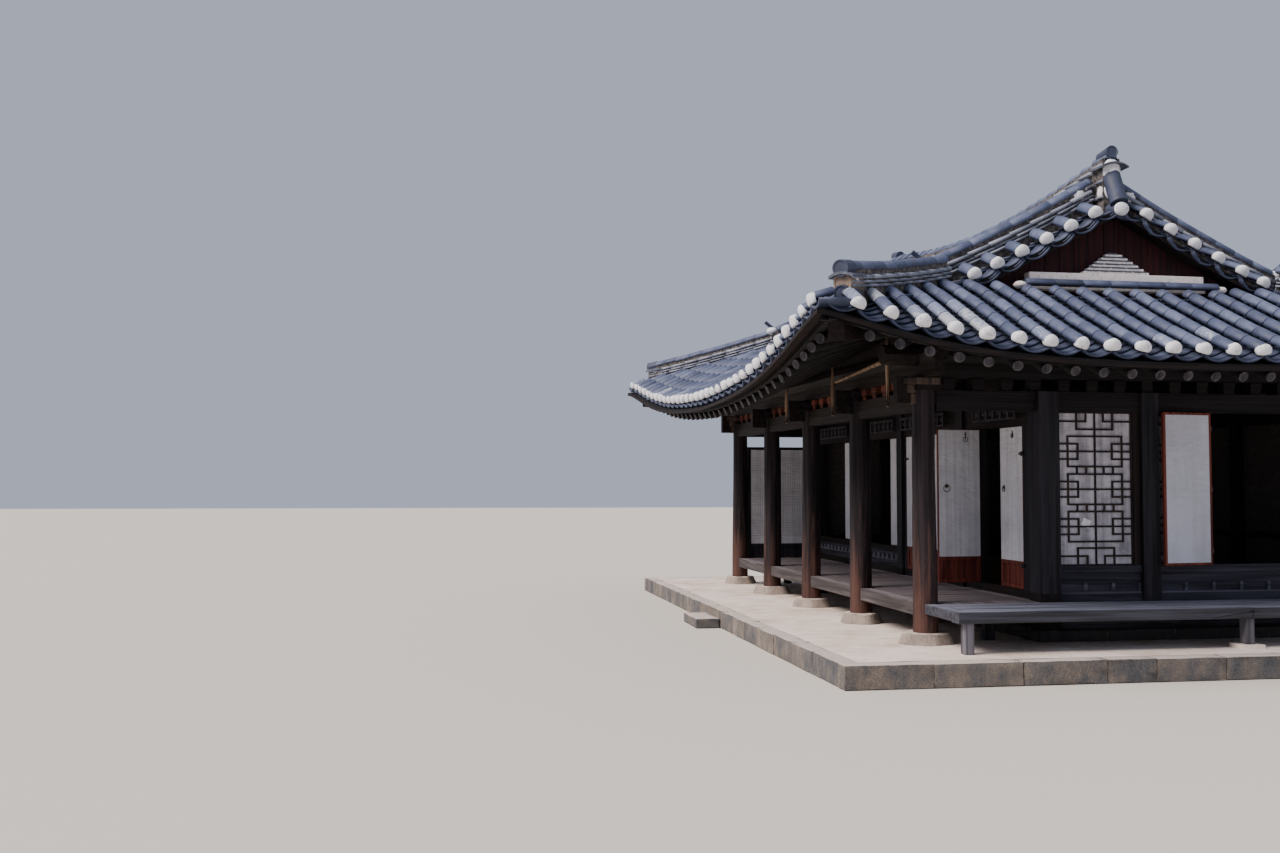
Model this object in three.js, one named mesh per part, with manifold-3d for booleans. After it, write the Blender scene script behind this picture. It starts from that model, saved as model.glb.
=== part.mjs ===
// Hanok house: a timber house with a hip-and-gable tiled roof on a low stone platform.
// Millimetres, +Z up. The origin is on the ground, under the middle of the house.
// The veranda runs along the -X side, and the long bench along the -Y end.
import * as THREE from "three";
import { mergeVertices } from "three/addons/utils/BufferGeometryUtils.js";
import Module from "manifold-3d";

const wasm = await Module();
wasm.setup();

// Seats and gaps
const REST = 0.3;
const DOOR_GAP = 5;

// Column grid
const BAY = 2060;
const ROWS = [-2 * BAY, -BAY, 0, BAY, 2 * BAY];
const END_Y = 2 * BAY;
const OUTER_X = 2680;
const VERANDA_DEPTH = 1430;
const INNER_X = VERANDA_DEPTH - OUTER_X;

// Stone platform
const PLATFORM_HEIGHT = 235;
const PLATFORM_OUT_X = 1450;
const PLATFORM_OUT_Y = 1510;
const CURB_WIDTH = 220;
const STONE_HEIGHT = 120;
const STONE_RADIUS = 235;
const PLINTH_WIDTH = 300;
const TOP = PLATFORM_HEIGHT;

// Timber heights, measured up from the platform top
const FLOOR_TOP = 440;
const FLOOR_THICK = 120;
const DOOR_FOOT = 530;
const DOOR_HEAD = 2430;
const WINDOW_FOOT = 830;
const BEAM_FOOT = 2570;
const COLUMN_TOP = 2790;
const PLATE_FOOT = 2930;
const PURLIN_AXIS = 3175;
const PURLIN_RADIUS = 110;
const WALL_THICK = 120;
const POST = 200;
const CORNER_POST = 250;
const COLUMN_FOOT_RADIUS = 138;
const COLUMN_HEAD_RADIUS = 122;

// Roof form. Distances run inward from the eave corner, heights up from the platform top
const EAVE_OUT_X = 1750;
const EAVE_OUT_Y = 1650;
const EAVE_INSET = 120;
const HIP_RUN = 2100;
const GABLE_SET_BACK = 2300;
const RIDGE_HALF = 125;
const SIDE_ROOF_HALF = 1450;
const CORNER_RISE = 3580;
const TILE_THICK = 150;
const TILE_THICK_INSIDE = 230;
const BOARD_THICK = 40;

const HALF_LENGTH = END_Y + EAVE_OUT_Y;
const HALF_DEPTH = OUTER_X + EAVE_OUT_X;
const RIDGE_RUN = HALF_DEPTH - RIDGE_HALF;

const wood = new THREE.MeshStandardMaterial({ color: 0x3b2f2b, roughness: 0.8, metalness: 0 });
const paleWood = new THREE.MeshStandardMaterial({ color: 0x8a8079, roughness: 0.85, metalness: 0 });
const redWood = new THREE.MeshStandardMaterial({ color: 0x6e3524, roughness: 0.7, metalness: 0 });
const paper = new THREE.MeshStandardMaterial({ color: 0xdcdad4, roughness: 0.9, metalness: 0 });
const granite = new THREE.MeshStandardMaterial({ color: 0x7d7368, roughness: 0.95, metalness: 0 });
const sand = new THREE.MeshStandardMaterial({ color: 0xb8a891, roughness: 1, metalness: 0 });
const tile = new THREE.MeshStandardMaterial({ color: 0x3c424b, roughness: 0.6, metalness: 0 });

const house = new THREE.Group();

// A closed three.js geometry as a solid that can be cut and joined
function toSolid(geometry) {
  geometry.deleteAttribute("normal");
  geometry.deleteAttribute("uv");
  const merged = mergeVertices(geometry, 1e-3);
  return new wasm.Manifold(new wasm.Mesh({
    numProp: 3,
    vertProperties: new Float32Array(merged.attributes.position.array),
    triVerts: new Uint32Array(merged.index.array),
  }));
}

function toGeometry(solid) {
  const mesh = solid.getMesh();
  const geometry = new THREE.BufferGeometry();
  geometry.setAttribute("position", new THREE.BufferAttribute(mesh.vertProperties, 3));
  geometry.setIndex(new THREE.BufferAttribute(mesh.triVerts, 1));
  geometry.computeVertexNormals();
  return geometry;
}

function addPiece(name, solid, material) {
  const mesh = new THREE.Mesh(toGeometry(solid), material);
  mesh.name = name;
  house.add(mesh);
  return solid;
}

function joined(solids) {
  return solids.reduce((all, one) => all.add(one));
}

// A box from its low corner to its high corner, with heights above the platform top
function block(x0, x1, y0, y1, z0, z1) {
  const geometry = new THREE.BoxGeometry(x1 - x0, y1 - y0, z1 - z0);
  geometry.translate((x0 + x1) / 2, (y0 + y1) / 2, TOP + (z0 + z1) / 2);
  return toSolid(geometry);
}

// An upright round post
function post(x, y, z0, z1, footRadius, headRadius, sides = 16) {
  const geometry = new THREE.CylinderGeometry(headRadius, footRadius, z1 - z0, sides);
  geometry.rotateX(Math.PI / 2);
  geometry.translate(x, y, TOP + (z0 + z1) / 2);
  return toSolid(geometry);
}

// A round timber between two points
function log(from, to, radius, sides = 8) {
  const axis = new THREE.Vector3().subVectors(to, from);
  const geometry = new THREE.CylinderGeometry(radius, radius, axis.length(), sides);
  const turn = new THREE.Quaternion();
  turn.setFromUnitVectors(new THREE.Vector3(0, 1, 0), axis.clone().normalize());
  geometry.applyQuaternion(turn);
  const middle = new THREE.Vector3().addVectors(from, to).multiplyScalar(0.5);
  geometry.translate(middle.x, middle.y, middle.z + TOP);
  return toSolid(geometry);
}

function at(x, y, z) {
  return new THREE.Vector3(x, y, z);
}

function mirrorX(solid) {
  return solid.mirror([1, 0, 0]);
}

function mirrorY(solid) {
  return solid.mirror([0, 1, 0]);
}

// A solid grown by a small gap, for cutting what rests against it
function padded(solid) {
  const steps = [[0, 0, REST], [0, 0, -REST], [REST, 0, 0], [-REST, 0, 0], [0, REST, 0], [0, -REST, 0]];
  return joined(steps.map((step) => solid.translate(step)));
}

// Stone platform, column stones and step
const platformX = OUTER_X + PLATFORM_OUT_X;
const platformY = END_Y + PLATFORM_OUT_Y;
const fillX = platformX - CURB_WIDTH;
const fillY = platformY - CURB_WIDTH;
const curb = block(-platformX, platformX, -platformY, platformY, -PLATFORM_HEIGHT, 0)
  .subtract(block(-fillX, fillX, -fillY, fillY, -PLATFORM_HEIGHT - 10, 10));
addPiece("platform_curb", curb, granite);

const plinthHalf = PLINTH_WIDTH / 2;
const fill = block(REST - fillX, fillX - REST, REST - fillY, fillY - REST, -PLATFORM_HEIGHT, 0);
function plinthBox(grow, z0, z1) {
  const endY = END_Y + grow;
  return block(INNER_X - grow, OUTER_X + grow, -endY, endY, z0, z1);
}
const plinthHole = plinthBox(-plinthHalf, -20, STONE_HEIGHT + 10);
const plinth = plinthBox(plinthHalf, -10, STONE_HEIGHT).subtract(plinthHole);
const STONE_SIDES = 10;
function columnStone(y) {
  return post(-OUTER_X, y, -10, STONE_HEIGHT, STONE_RADIUS, STONE_RADIUS - 30, STONE_SIDES);
}
const LEG_STONE_HEIGHT = 45;
const LEG_WIDTH = 135;
const LEG_X = [-OUTER_X + 60, 580, OUTER_X - 60];
const BENCH_OUT = 1000;
const LEG_INSET = 80;
const legY = -END_Y - BENCH_OUT + LEG_INSET;
const LEG_STONE_HALF = 125;
const legStone = block(
  LEG_X[1] - LEG_STONE_HALF, LEG_X[1] + LEG_STONE_HALF, legY - LEG_STONE_HALF, legY + LEG_STONE_HALF,
  -10, LEG_STONE_HEIGHT);
const platformFloor = joined([fill, plinth, ...ROWS.map(columnStone), legStone]);
addPiece("platform_floor", platformFloor, sand);

const STEP_LENGTH = 850;
const STEP_DEPTH = 330;
const STEP_HEIGHT = 130;
const stepX = -platformX - REST;
const stepTop = STEP_HEIGHT - PLATFORM_HEIGHT;
const stepStone = block(
  stepX - STEP_DEPTH, stepX, -STEP_LENGTH / 2, STEP_LENGTH / 2, -PLATFORM_HEIGHT, stepTop);
addPiece("step_stone", stepStone, granite);

// Round veranda columns
const seat = STONE_HEIGHT + REST;
function column(y, grow) {
  const footRadius = COLUMN_FOOT_RADIUS + grow;
  return post(-OUTER_X, y, seat - grow, COLUMN_TOP + grow, footRadius, COLUMN_HEAD_RADIUS + grow);
}
ROWS.forEach((y, i) => addPiece(`veranda_column_${i + 1}`, column(y, 0), wood));

// Veranda floor on short props, and the bench along the end
const floorEdge = -OUTER_X - 60;
const floorFoot = FLOOR_TOP - FLOOR_THICK;
const wallFace = WALL_THICK / 2;
const cornerHalf = CORNER_POST / 2;
const benchInner = -END_Y - cornerHalf - REST;
const columnHoles = joined(ROWS.map((y) => column(y, 4)));
const PROP_X = INNER_X - 620;
const PROP_HALF = 60;
const PROP_SPREAD = 0.96;
function prop(y) {
  return block(PROP_X - PROP_HALF, PROP_X + PROP_HALF, y - PROP_HALF, y + PROP_HALF, REST, floorFoot + 10);
}
function innerPostBox(y, extra, z0 = seat, z1 = COLUMN_TOP) {
  const half = (Math.abs(y) === END_Y ? CORNER_POST : POST) / 2 + extra;
  return block(INNER_X - half, INNER_X + half, y - half, y + half, z0 - extra, z1 + extra);
}
const verandaFloor = joined([
  block(floorEdge, INNER_X - wallFace - REST, benchInner + REST, END_Y + wallFace, floorFoot, FLOOR_TOP),
  ...ROWS.map((y) => prop(y * PROP_SPREAD)),
]).subtract(columnHoles).subtract(joined(ROWS.map((y) => innerPostBox(y, REST))));
addPiece("veranda_floor", verandaFloor, paleWood);

function backPostBox(y, extra) {
  const half = (Math.abs(y) === END_Y ? CORNER_POST : POST) / 2 + extra;
  return block(OUTER_X - half, OUTER_X + half, y - half, y + half, seat - extra, COLUMN_TOP + extra);
}
const benchLegs = LEG_X.map((x, i) => block(
  x - LEG_WIDTH / 2, x + LEG_WIDTH / 2, legY - LEG_WIDTH / 2, legY + LEG_WIDTH / 2,
  (i === 1 ? LEG_STONE_HEIGHT : 0) + REST, floorFoot + 10));
const bench = joined([
  block(floorEdge, -floorEdge, -END_Y - BENCH_OUT, benchInner, floorFoot, FLOOR_TOP),
  ...benchLegs,
]).subtract(columnHoles);
addPiece("side_bench", bench, paleWood);

// Solid heated floor of the rooms
const roomX0 = INNER_X + plinthHalf + REST;
const roomX1 = OUTER_X - plinthHalf - REST;
const roomY = END_Y - plinthHalf - REST;
const roomFloor = joined([
  block(roomX0, roomX1, -roomY, roomY, REST, FLOOR_TOP),
  block(INNER_X + cornerHalf + REST, OUTER_X - cornerHalf - REST, REST + cornerHalf - END_Y,
    END_Y - cornerHalf - REST, seat, FLOOR_TOP),
]);
addPiece("room_floor", roomFloor, sand);

// Roof surfaces. d runs inward from the eave line, s along it from the corner
function hipTop(d) {
  return CORNER_RISE + 0.16 * d + 33e-6 * d * d;
}
function longBase(d) {
  return 2915 + 0.38 * d + 33e-6 * d * d;
}
function endBase(d) {
  return 3065 + 0.4 * d + 33e-6 * d * d;
}
function corner(u, reach, power) {
  return Math.exp(-Math.pow(Math.max(u, 0) / reach, power));
}
function longTop(d, s) {
  const along = Math.min(s, 2 * HALF_LENGTH - s);
  const hipPart = Math.min(d, HIP_RUN);
  const fade = 1 - Math.max(d - HIP_RUN, 0) / (RIDGE_RUN - HIP_RUN);
  const lift = (hipTop(hipPart) - longBase(hipPart)) * fade;
  return longBase(d) + lift * corner(along - hipPart, 2200, 1.4);
}
function endTop(d, s) {
  const along = Math.min(s, 2 * HALF_DEPTH - s);
  const hipPart = Math.min(d, HIP_RUN);
  const lift = hipTop(hipPart) - endBase(hipPart);
  return endBase(d) + lift * corner(along - hipPart, 1300, 1.3);
}
function tileThick(d) {
  return TILE_THICK + (TILE_THICK_INSIDE - TILE_THICK) * Math.min(1, d / 1500);
}

// Grid stations: even ones inward, and closer ones near the two corners along the eave
const ALONG_CELLS = 20;
function alongStation(i) {
  const t = (2 * i) / ALONG_CELLS - 1;
  return 0.5 + 0.5 * Math.sign(t) * (1 - Math.pow(1 - Math.abs(t), 1.5));
}

// A closed sheet between two height functions, over rows that run from start(d) to end(d)
function sheet(runs, cells, station, place, low, high) {
  const rows = runs.length;
  const wide = cells + 1;
  const points = [];
  for (const height of [low, high]) {
    for (let j = 0; j < rows; j += 1) {
      for (let i = 0; i < wide; i += 1) {
        const [x, y, d, s] = place(runs[j], station(i), j);
        points.push(x, y, TOP + height(d, s));
      }
    }
  }
  const layer = rows * wide;
  const index = [];
  const quad = (a, b, c, d) => index.push(a, b, c, a, c, d);
  for (let j = 0; j < rows - 1; j += 1) {
    for (let i = 0; i < cells; i += 1) {
      const a = j * wide + i;
      quad(a, a + wide, a + wide + 1, a + 1);
      quad(layer + a, layer + a + 1, layer + a + wide + 1, layer + a + wide);
    }
  }
  for (let i = 0; i < cells; i += 1) {
    const last = (rows - 1) * wide + i;
    quad(i, i + 1, layer + i + 1, layer + i);
    quad(last + 1, last, layer + last, layer + last + 1);
  }
  for (let j = 0; j < rows - 1; j += 1) {
    const a = j * wide;
    const b = a + cells;
    quad(a + wide, a, layer + a, layer + a + wide);
    quad(b, b + wide, layer + b + wide, layer + b);
  }
  const geometry = new THREE.BufferGeometry();
  geometry.setAttribute("position", new THREE.Float32BufferAttribute(points, 3));
  geometry.setIndex(index);
  return toSolid(geometry);
}

// The front slope, on the -X side. Its rows run along Y
function frontPlace(edge = REST) {
  return (run, v) => {
    const start = Math.min(run, HIP_RUN) + edge;
    const s = start + v * (2 * HALF_LENGTH - 2 * start);
    const bow = EAVE_INSET * (1 - Math.pow(Math.abs(2 * v - 1), 2.5));
    const d = run + bow * Math.pow(1 - run / RIDGE_RUN, 4);
    return [d - HALF_DEPTH, HALF_LENGTH - s, d, s];
  };
}
function runsTo(length, cells) {
  return Array.from({ length: cells + 1 }, (_, j) => (length * j) / cells);
}
const endRuns = runsTo(HIP_RUN, 5);
const frontRuns = [...endRuns, ...runsTo(RIDGE_RUN - HIP_RUN, 3).slice(1).map((run) => run + HIP_RUN)];
const boardLow = (top) => (d, s) => top(d, s) - tileThick(d) - BOARD_THICK;
const boardHigh = (top) => (d, s) => top(d, s) - tileThick(d) - REST;
const tileLow = (top) => (d, s) => top(d, s) - tileThick(d);
const frontTiles = sheet(frontRuns, ALONG_CELLS, alongStation, frontPlace(), tileLow(longTop), longTop);
const frontBoards = sheet(
  frontRuns, ALONG_CELLS, alongStation, frontPlace(), boardLow(longTop), boardHigh(longTop));

// The end slope, on the -Y side, with the strip behind it up to the gable wall
function endPlace(edge = REST) {
  return (run, v) => {
    const start = run + edge;
    const s = start + v * (2 * HALF_DEPTH - 2 * start);
    const bow = EAVE_INSET * (1 - Math.pow(Math.abs(2 * v - 1), 2.5));
    const d = run + bow * Math.pow(1 - run / HIP_RUN, 4);
    return [s - HALF_DEPTH, d - HALF_LENGTH, d, s];
  };
}
function stripPlace(run, v) {
  const s = HALF_DEPTH - SIDE_ROOF_HALF + v * 2 * SIDE_ROOF_HALF;
  return [s - HALF_DEPTH, run - HALF_LENGTH, run, s];
}
const stripRuns = [HIP_RUN - 60, GABLE_SET_BACK];
const STRIP_CELLS = 4;
const stripLow = (d, s) => tileLow(endTop)(d, s) + 5;
const endTiles = sheet(endRuns, ALONG_CELLS, alongStation, endPlace(), tileLow(endTop), endTop)
  .add(sheet(stripRuns, STRIP_CELLS, (i) => i / STRIP_CELLS, stripPlace, stripLow, endTop));
const endBoards = sheet(
  endRuns, ALONG_CELLS, alongStation, endPlace(), boardLow(endTop), boardHigh(endTop));

// The upright infill that stands on a purlin and carries the roof boards
const HIP_RAFTER_HALF = 90;
const INFILL_HALF = 30;
const INFILL_CELLS = 12;
const INFILL_SHORT = 100;
function infill(top, reach, halfSpan, place) {
  const runs = [reach - INFILL_HALF, reach + INFILL_HALF];
  const spot = (run, v) => {
    const along = (2 * v - 1) * (halfSpan - reach - HIP_RAFTER_HALF - INFILL_SHORT);
    return [...place(run, along), run, halfSpan - Math.abs(along)];
  };
  const high = (d, s) => boardLow(top)(d, s) + BOARD_THICK / 2;
  return sheet(runs, INFILL_CELLS, (i) => i / INFILL_CELLS, spot, () => PURLIN_AXIS, high);
}

// The heavy rafter under each hip
const HIP_RAFTER_START = 280;
const HIP_RAFTER_END = 2450;
const HIP_RAFTER_DEPTH = 250;
const HIP_RAFTER_DROP = 12;
function hipRafter() {
  const drop = HIP_RAFTER_DEPTH / 2 + HIP_RAFTER_DROP;
  const zStart = boardLow(longTop)(HIP_RAFTER_START, HIP_RAFTER_START) - drop;
  const zEnd = boardLow(longTop)(HIP_RUN, HIP_RUN) - drop;
  const from = at(HIP_RAFTER_START - HALF_DEPTH, HIP_RAFTER_START - HALF_LENGTH, zStart);
  const to = at(HIP_RAFTER_END - HALF_DEPTH, HIP_RAFTER_END - HALF_LENGTH, zEnd);
  const axis = new THREE.Vector3().subVectors(to, from);
  const geometry = new THREE.BoxGeometry(axis.length(), 2 * HIP_RAFTER_HALF, HIP_RAFTER_DEPTH);
  geometry.rotateY(-Math.atan2(axis.z, Math.hypot(axis.x, axis.y)));
  geometry.rotateZ(Math.PI / 4);
  geometry.translate((from.x + to.x) / 2, (from.y + to.y) / 2, TOP + (from.z + to.z) / 2);
  return toSolid(geometry);
}

// Eave beams: tie beam, small blocks, plate and round purlin
const TIE_HALF = 70;
const PLATE_HALF = 60;
const BLOCK_PITCH = 343;
const BLOCK_HALF = 65;
const PURLIN_END = 480;
function beamRun(length, tail, alongY) {
  const box = (l0, l1, half, z0, z1) => (alongY
    ? block(-half, half, l0, l1, z0, z1)
    : block(l0, l1, -half, half, z0, z1));
  const blocks = [];
  const count = Math.floor(length / 2 / BLOCK_PITCH);
  for (let i = -count; i <= count; i += 1) {
    const l = i * BLOCK_PITCH;
    blocks.push(box(l - BLOCK_HALF, l + BLOCK_HALF, PLATE_HALF, COLUMN_TOP - 10, PLATE_FOOT + 10));
  }
  const end = length / 2 + tail;
  const purlin = alongY
    ? log(at(0, -end, PURLIN_AXIS), at(0, end, PURLIN_AXIS), PURLIN_RADIUS)
    : log(at(-end, 0, PURLIN_AXIS), at(end, 0, PURLIN_AXIS), PURLIN_RADIUS);
  return joined([
    box(-length / 2, length / 2, TIE_HALF, BEAM_FOOT, COLUMN_TOP),
    box(-end, end, PLATE_HALF, PLATE_FOOT, PURLIN_AXIS),
    purlin,
    ...blocks,
  ]);
}
// A carved arm at a column head, reaching out under the plate
const BRACKET_OUT = 330;
const BRACKET_HALF = 55;
const BRACKET_DROP = 150;
const HEAD_BLOCK_HALF = 120;
function bracket(y) {
  const head = HEAD_BLOCK_HALF;
  const out = BRACKET_OUT;
  const half = BRACKET_HALF;
  return joined([
    block(-OUTER_X - head, -OUTER_X + head, y - head, y + head, COLUMN_TOP + REST, PLATE_FOOT + 10),
    block(-OUTER_X - out, -OUTER_X + out, y - half, y + half, COLUMN_TOP - BRACKET_DROP, PLATE_FOOT + 5),
  ]);
}
function purlinStub(y) {
  const reach = OUTER_X + PURLIN_END;
  return log(at(-reach, y, PURLIN_AXIS), at(-OUTER_X, y, PURLIN_AXIS), PURLIN_RADIUS);
}
const columnCut = joined(ROWS.map((y) => column(y, REST)));
const frontBeam = joined([
  beamRun(2 * END_Y, PURLIN_END, true).translate([-OUTER_X, 0, 0]),
  ...ROWS.map(bracket),
  purlinStub(-END_Y),
  purlinStub(END_Y),
]).subtract(columnCut);
const endBeamX = OUTER_X - 125;
const midPostHalf = 105;
const midPostCut = midPostHalf + REST;
const endPostCuts = joined([
  innerPostBox(-END_Y, REST),
  backPostBox(-END_Y, REST),
  column(-END_Y, REST),
  block(-midPostCut, midPostCut, -END_Y - midPostCut, midPostCut - END_Y, 0, COLUMN_TOP + REST),
]);
const endBeam = beamRun(2 * endBeamX, 0, false).translate([0, -END_Y, 0])
  .subtract(endPostCuts)
  .subtract(padded(frontBeam))
  .subtract(padded(mirrorX(frontBeam)));
const backPostCut = joined(ROWS.map((y) => backPostBox(y, REST)));
const backBeam = mirrorX(joined([
  beamRun(2 * END_Y, PURLIN_END, true).translate([-OUTER_X, 0, 0]),
  ...ROWS.map(bracket),
  purlinStub(-END_Y),
  purlinStub(END_Y),
])).subtract(backPostCut);
addPiece("front_eave_beam", frontBeam, wood);
addPiece("back_eave_beam", backBeam, wood);
addPiece("bench_end_beam", endBeam, wood);
addPiece("far_end_beam", mirrorY(endBeam), wood);

// Roof boards, resting on the purlins, with the hip rafters and the hanging straps
const allBeams = padded(joined([frontBeam, backBeam, endBeam, mirrorY(endBeam)]));
const HOOK_OUT = 360;
const HOOK_RADIUS = 14;
function hook(y, foot) {
  const x = -OUTER_X - HOOK_OUT;
  const head = boardLow(longTop)(HALF_DEPTH + x, HALF_LENGTH - Math.abs(y)) + BOARD_THICK / 2;
  return block(x - HOOK_RADIUS, x + HOOK_RADIUS, y - HOOK_RADIUS, y + HOOK_RADIUS, foot, head);
}
const frontInfill = infill(longTop, EAVE_OUT_X, HALF_LENGTH, (d, t) => [d - HALF_DEPTH, -t]);
const endInfill = infill(endTop, EAVE_OUT_Y, HALF_DEPTH, (d, t) => [t, d - HALF_LENGTH]);
const frontEaves = frontInfill.subtract(allBeams).add(frontBoards);
const frontBoardsCut = padded(frontEaves.add(mirrorY(frontEaves)));
const hipRafters = joined([hipRafter(), mirrorX(hipRafter())]);
const endEaves = endInfill.add(hipRafters).subtract(allBeams).add(endBoards)
  .subtract(frontBoardsCut)
  .subtract(mirrorX(frontBoardsCut));
const STRAP_FOOT = 2620;
const hooks = joined([140 - END_Y, -BAY, 0].map((y) => hook(y, STRAP_FOOT)));
addPiece("front_roof_boards", frontEaves.add(hooks), wood);
addPiece("back_roof_boards", mirrorX(frontEaves), wood);
addPiece("bench_end_roof_boards", endEaves, wood);
addPiece("far_end_roof_boards", mirrorY(endEaves), wood);

addPiece("front_roof_tiles", frontTiles, tile);
addPiece("back_roof_tiles", mirrorX(frontTiles), tile);
addPiece("bench_end_roof_tiles", endTiles, tile);
addPiece("far_end_roof_tiles", mirrorY(endTiles), tile);

// Walls under the beams. Each wall stands on the stone course
const innerFace = INNER_X + wallFace;
const outerFace = INNER_X - wallFace;
const DOORWAY_WIDTH = 1160;
const DOORWAY_STARTS = [-END_Y + 390, -BAY + 360];
const DOORWAY_ENDS = [DOORWAY_STARTS[0] + DOORWAY_WIDTH, -180];
const DOORWAYS = DOORWAY_STARTS.map((foot, i) => ({ foot, head: DOORWAY_ENDS[i] }));
const JAMB = 85;

const doorFoot = DOOR_FOOT + DOOR_GAP;
const doorHead = DOOR_HEAD - DOOR_GAP;
const KNUCKLE = 50;
const KNUCKLE_RADIUS = 9;
const HINGE_OUT = 16;
const HINGE_X = outerFace - HINGE_OUT;
const HINGE_HEIGHTS = [doorFoot + 250, doorHead - 350];
function knuckle(y, z0, z1) {
  return post(HINGE_X, y, z0, z1, KNUCKLE_RADIUS, KNUCKLE_RADIUS, 10);
}
function spanBlock(x0, x1, ya, yb, z0, z1) {
  return block(x0, x1, Math.min(ya, yb), Math.max(ya, yb), z0, z1);
}
const PLATE_REACH = 45;
const PLATE_INSET = 5;
// The fixed halves of a leaf's two hinges, held off the jamb by short plates
function fixedKnuckles(hingeY, side) {
  const far = hingeY - PLATE_REACH * side;
  return joined(HINGE_HEIGHTS.flatMap((z) => {
    const z0 = z + PLATE_INSET;
    const z1 = z + KNUCKLE - PLATE_INSET;
    return [
      knuckle(hingeY, z, z + KNUCKLE),
      spanBlock(HINGE_X - 2, HINGE_X + 8, far, hingeY, z0, z1),
      spanBlock(HINGE_X + 6, outerFace + 4, far, hingeY - 15 * side, z0, z1),
    ];
  }));
}
// The moving halves, with the plates that hold them to the leaf
function movingKnuckles(hingeY, side) {
  const far = hingeY + PLATE_REACH * side;
  return joined(HINGE_HEIGHTS.flatMap((z) => {
    const z0 = z + KNUCKLE + PLATE_INSET;
    const z1 = z + 2 * KNUCKLE - PLATE_INSET;
    return [
      knuckle(hingeY, z + KNUCKLE + REST, z + 2 * KNUCKLE),
      spanBlock(HINGE_X - 2, HINGE_X + 8, hingeY, far, z0, z1),
      spanBlock(HINGE_X + 6, outerFace + 4, hingeY + 10 * side, far, z0, z1),
    ];
  }));
}

// Inner posts of the veranda wall, each with the boarded strips and jambs beside it
function wallPost(i) {
  const y = ROWS[i];
  const before = i > 0 && i < 3 ? DOORWAYS[i - 1].head : y;
  const after = i < 2 ? DOORWAYS[i].foot : y;
  const stripStart = Math.min(before, y - 10);
  const stripEnd = Math.max(after, y + 10);
  const strips = block(outerFace, innerFace, stripStart, stripEnd, DOOR_FOOT + REST, DOOR_HEAD - REST);
  const parts = [innerPostBox(y, 0, DOOR_FOOT + REST), strips];
  if (i < 2) {
    parts.push(fixedKnuckles(after + DOOR_GAP, 1));
  }
  if (i > 0 && i < 3) {
    parts.push(fixedKnuckles(before - DOOR_GAP, -1));
  }
  return joined(parts);
}
ROWS.forEach((y, i) => addPiece(`veranda_wall_post_${i + 1}`, wallPost(i), wood));

const postCut = joined(ROWS.map((y) => innerPostBox(y, REST, DOOR_FOOT + REST)));
const postFeet = ROWS.map((y) => innerPostBox(y, 0, seat, DOOR_FOOT));
const sillEnd = END_Y + wallFace;
const lowRail = block(outerFace, innerFace, -sillEnd, sillEnd, seat, DOOR_FOOT);
const PANEL_HALF = 20;
const RAIL_HEIGHT = 80;
const railFoot = WINDOW_FOOT - RAIL_HEIGHT;
const windowWall = joined([
  block(INNER_X - PANEL_HALF, INNER_X + PANEL_HALF, 0, END_Y, DOOR_FOOT - 10, railFoot + 10),
  block(outerFace, innerFace, 0, END_Y, railFoot, WINDOW_FOOT),
]);
addPiece("veranda_wall_sill", joined([lowRail, windowWall, ...postFeet]).subtract(postCut), wood);

// Head beam of the veranda wall, the infill above it and the three cross beams it carries
const CROSS_HALF = 90;
const CROSS_TOP = 3050;
const crossEnd = OUTER_X - PLATE_HALF - REST;
const LONG_BEAM_HALF = 30;
const LONG_BEAM_SHORT = 800;
const infillTop = boardLow(longTop)(HALF_DEPTH + INNER_X - LONG_BEAM_HALF, HALF_LENGTH) - REST;
const crossBeams = [-BAY, 0, BAY].map((y) => block(
  -crossEnd, crossEnd, y - CROSS_HALF, y + CROSS_HALF, COLUMN_TOP + 30, CROSS_TOP));
const headInfill = block(
  INNER_X - LONG_BEAM_HALF, INNER_X + LONG_BEAM_HALF, LONG_BEAM_SHORT - END_Y, END_Y - LONG_BEAM_SHORT,
  COLUMN_TOP, infillTop);
const headEnd = END_Y - cornerHalf - REST;
const wallHead = joined([
  block(outerFace, innerFace, -headEnd, headEnd, DOOR_HEAD, COLUMN_TOP + 40),
  headInfill,
  ...crossBeams,
]).subtract(postCut).subtract(allBeams);
addPiece("veranda_wall_head", wallHead, wood);

// Near end wall: low panelled rail, middle post, lattice window and folded window leaves
const endX0 = INNER_X + cornerHalf + REST;
const endX1 = OUTER_X - cornerHalf - REST;
const LEAF_THICK = 40;
const sillTop = FLOOR_TOP + RAIL_HEIGHT;
const endFace0 = -END_Y - wallFace;
const endFace1 = wallFace - END_Y;
const endSill = joined([
  block(endX0, endX1, endFace0, endFace1, seat, sillTop),
  block(endX0, endX1, -END_Y - PANEL_HALF, PANEL_HALF - END_Y, sillTop - 10, railFoot + 10),
  block(endX0, endX1, endFace0, endFace1, railFoot, WINDOW_FOOT),
]).subtract(block(-midPostCut, midPostCut, endFace0 - 10, endFace1 + 10, FLOOR_TOP, COLUMN_TOP));
addPiece("bench_end_sill", endSill, wood);
const midPost = block(
  -midPostHalf, midPostHalf, -END_Y - midPostHalf, -END_Y + midPostHalf, FLOOR_TOP + REST, COLUMN_TOP);
addPiece("bench_end_post", midPost, wood);

const leafY = -END_Y - 10;
function endLeaf(x0, x1, z0, z1) {
  return block(x0, x1, leafY - LEAF_THICK / 2, leafY + LEAF_THICK / 2, z0, z1);
}
const windowTop = BEAM_FOOT - REST;
const JAMB_HALF = 50;
function endJamb(x0, x1) {
  return block(x0, x1, -END_Y - JAMB_HALF, JAMB_HALF - END_Y, WINDOW_FOOT + REST, windowTop);
}
const latticeWindow = joined([
  endLeaf(endX0 + REST, -midPostCut, WINDOW_FOOT + REST, windowTop),
  endJamb(endX0 + REST, endX0 + 30),
  endJamb(-midPostHalf - JAMB, -midPostCut),
]);
addPiece("lattice_window", latticeWindow, paper);

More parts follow.
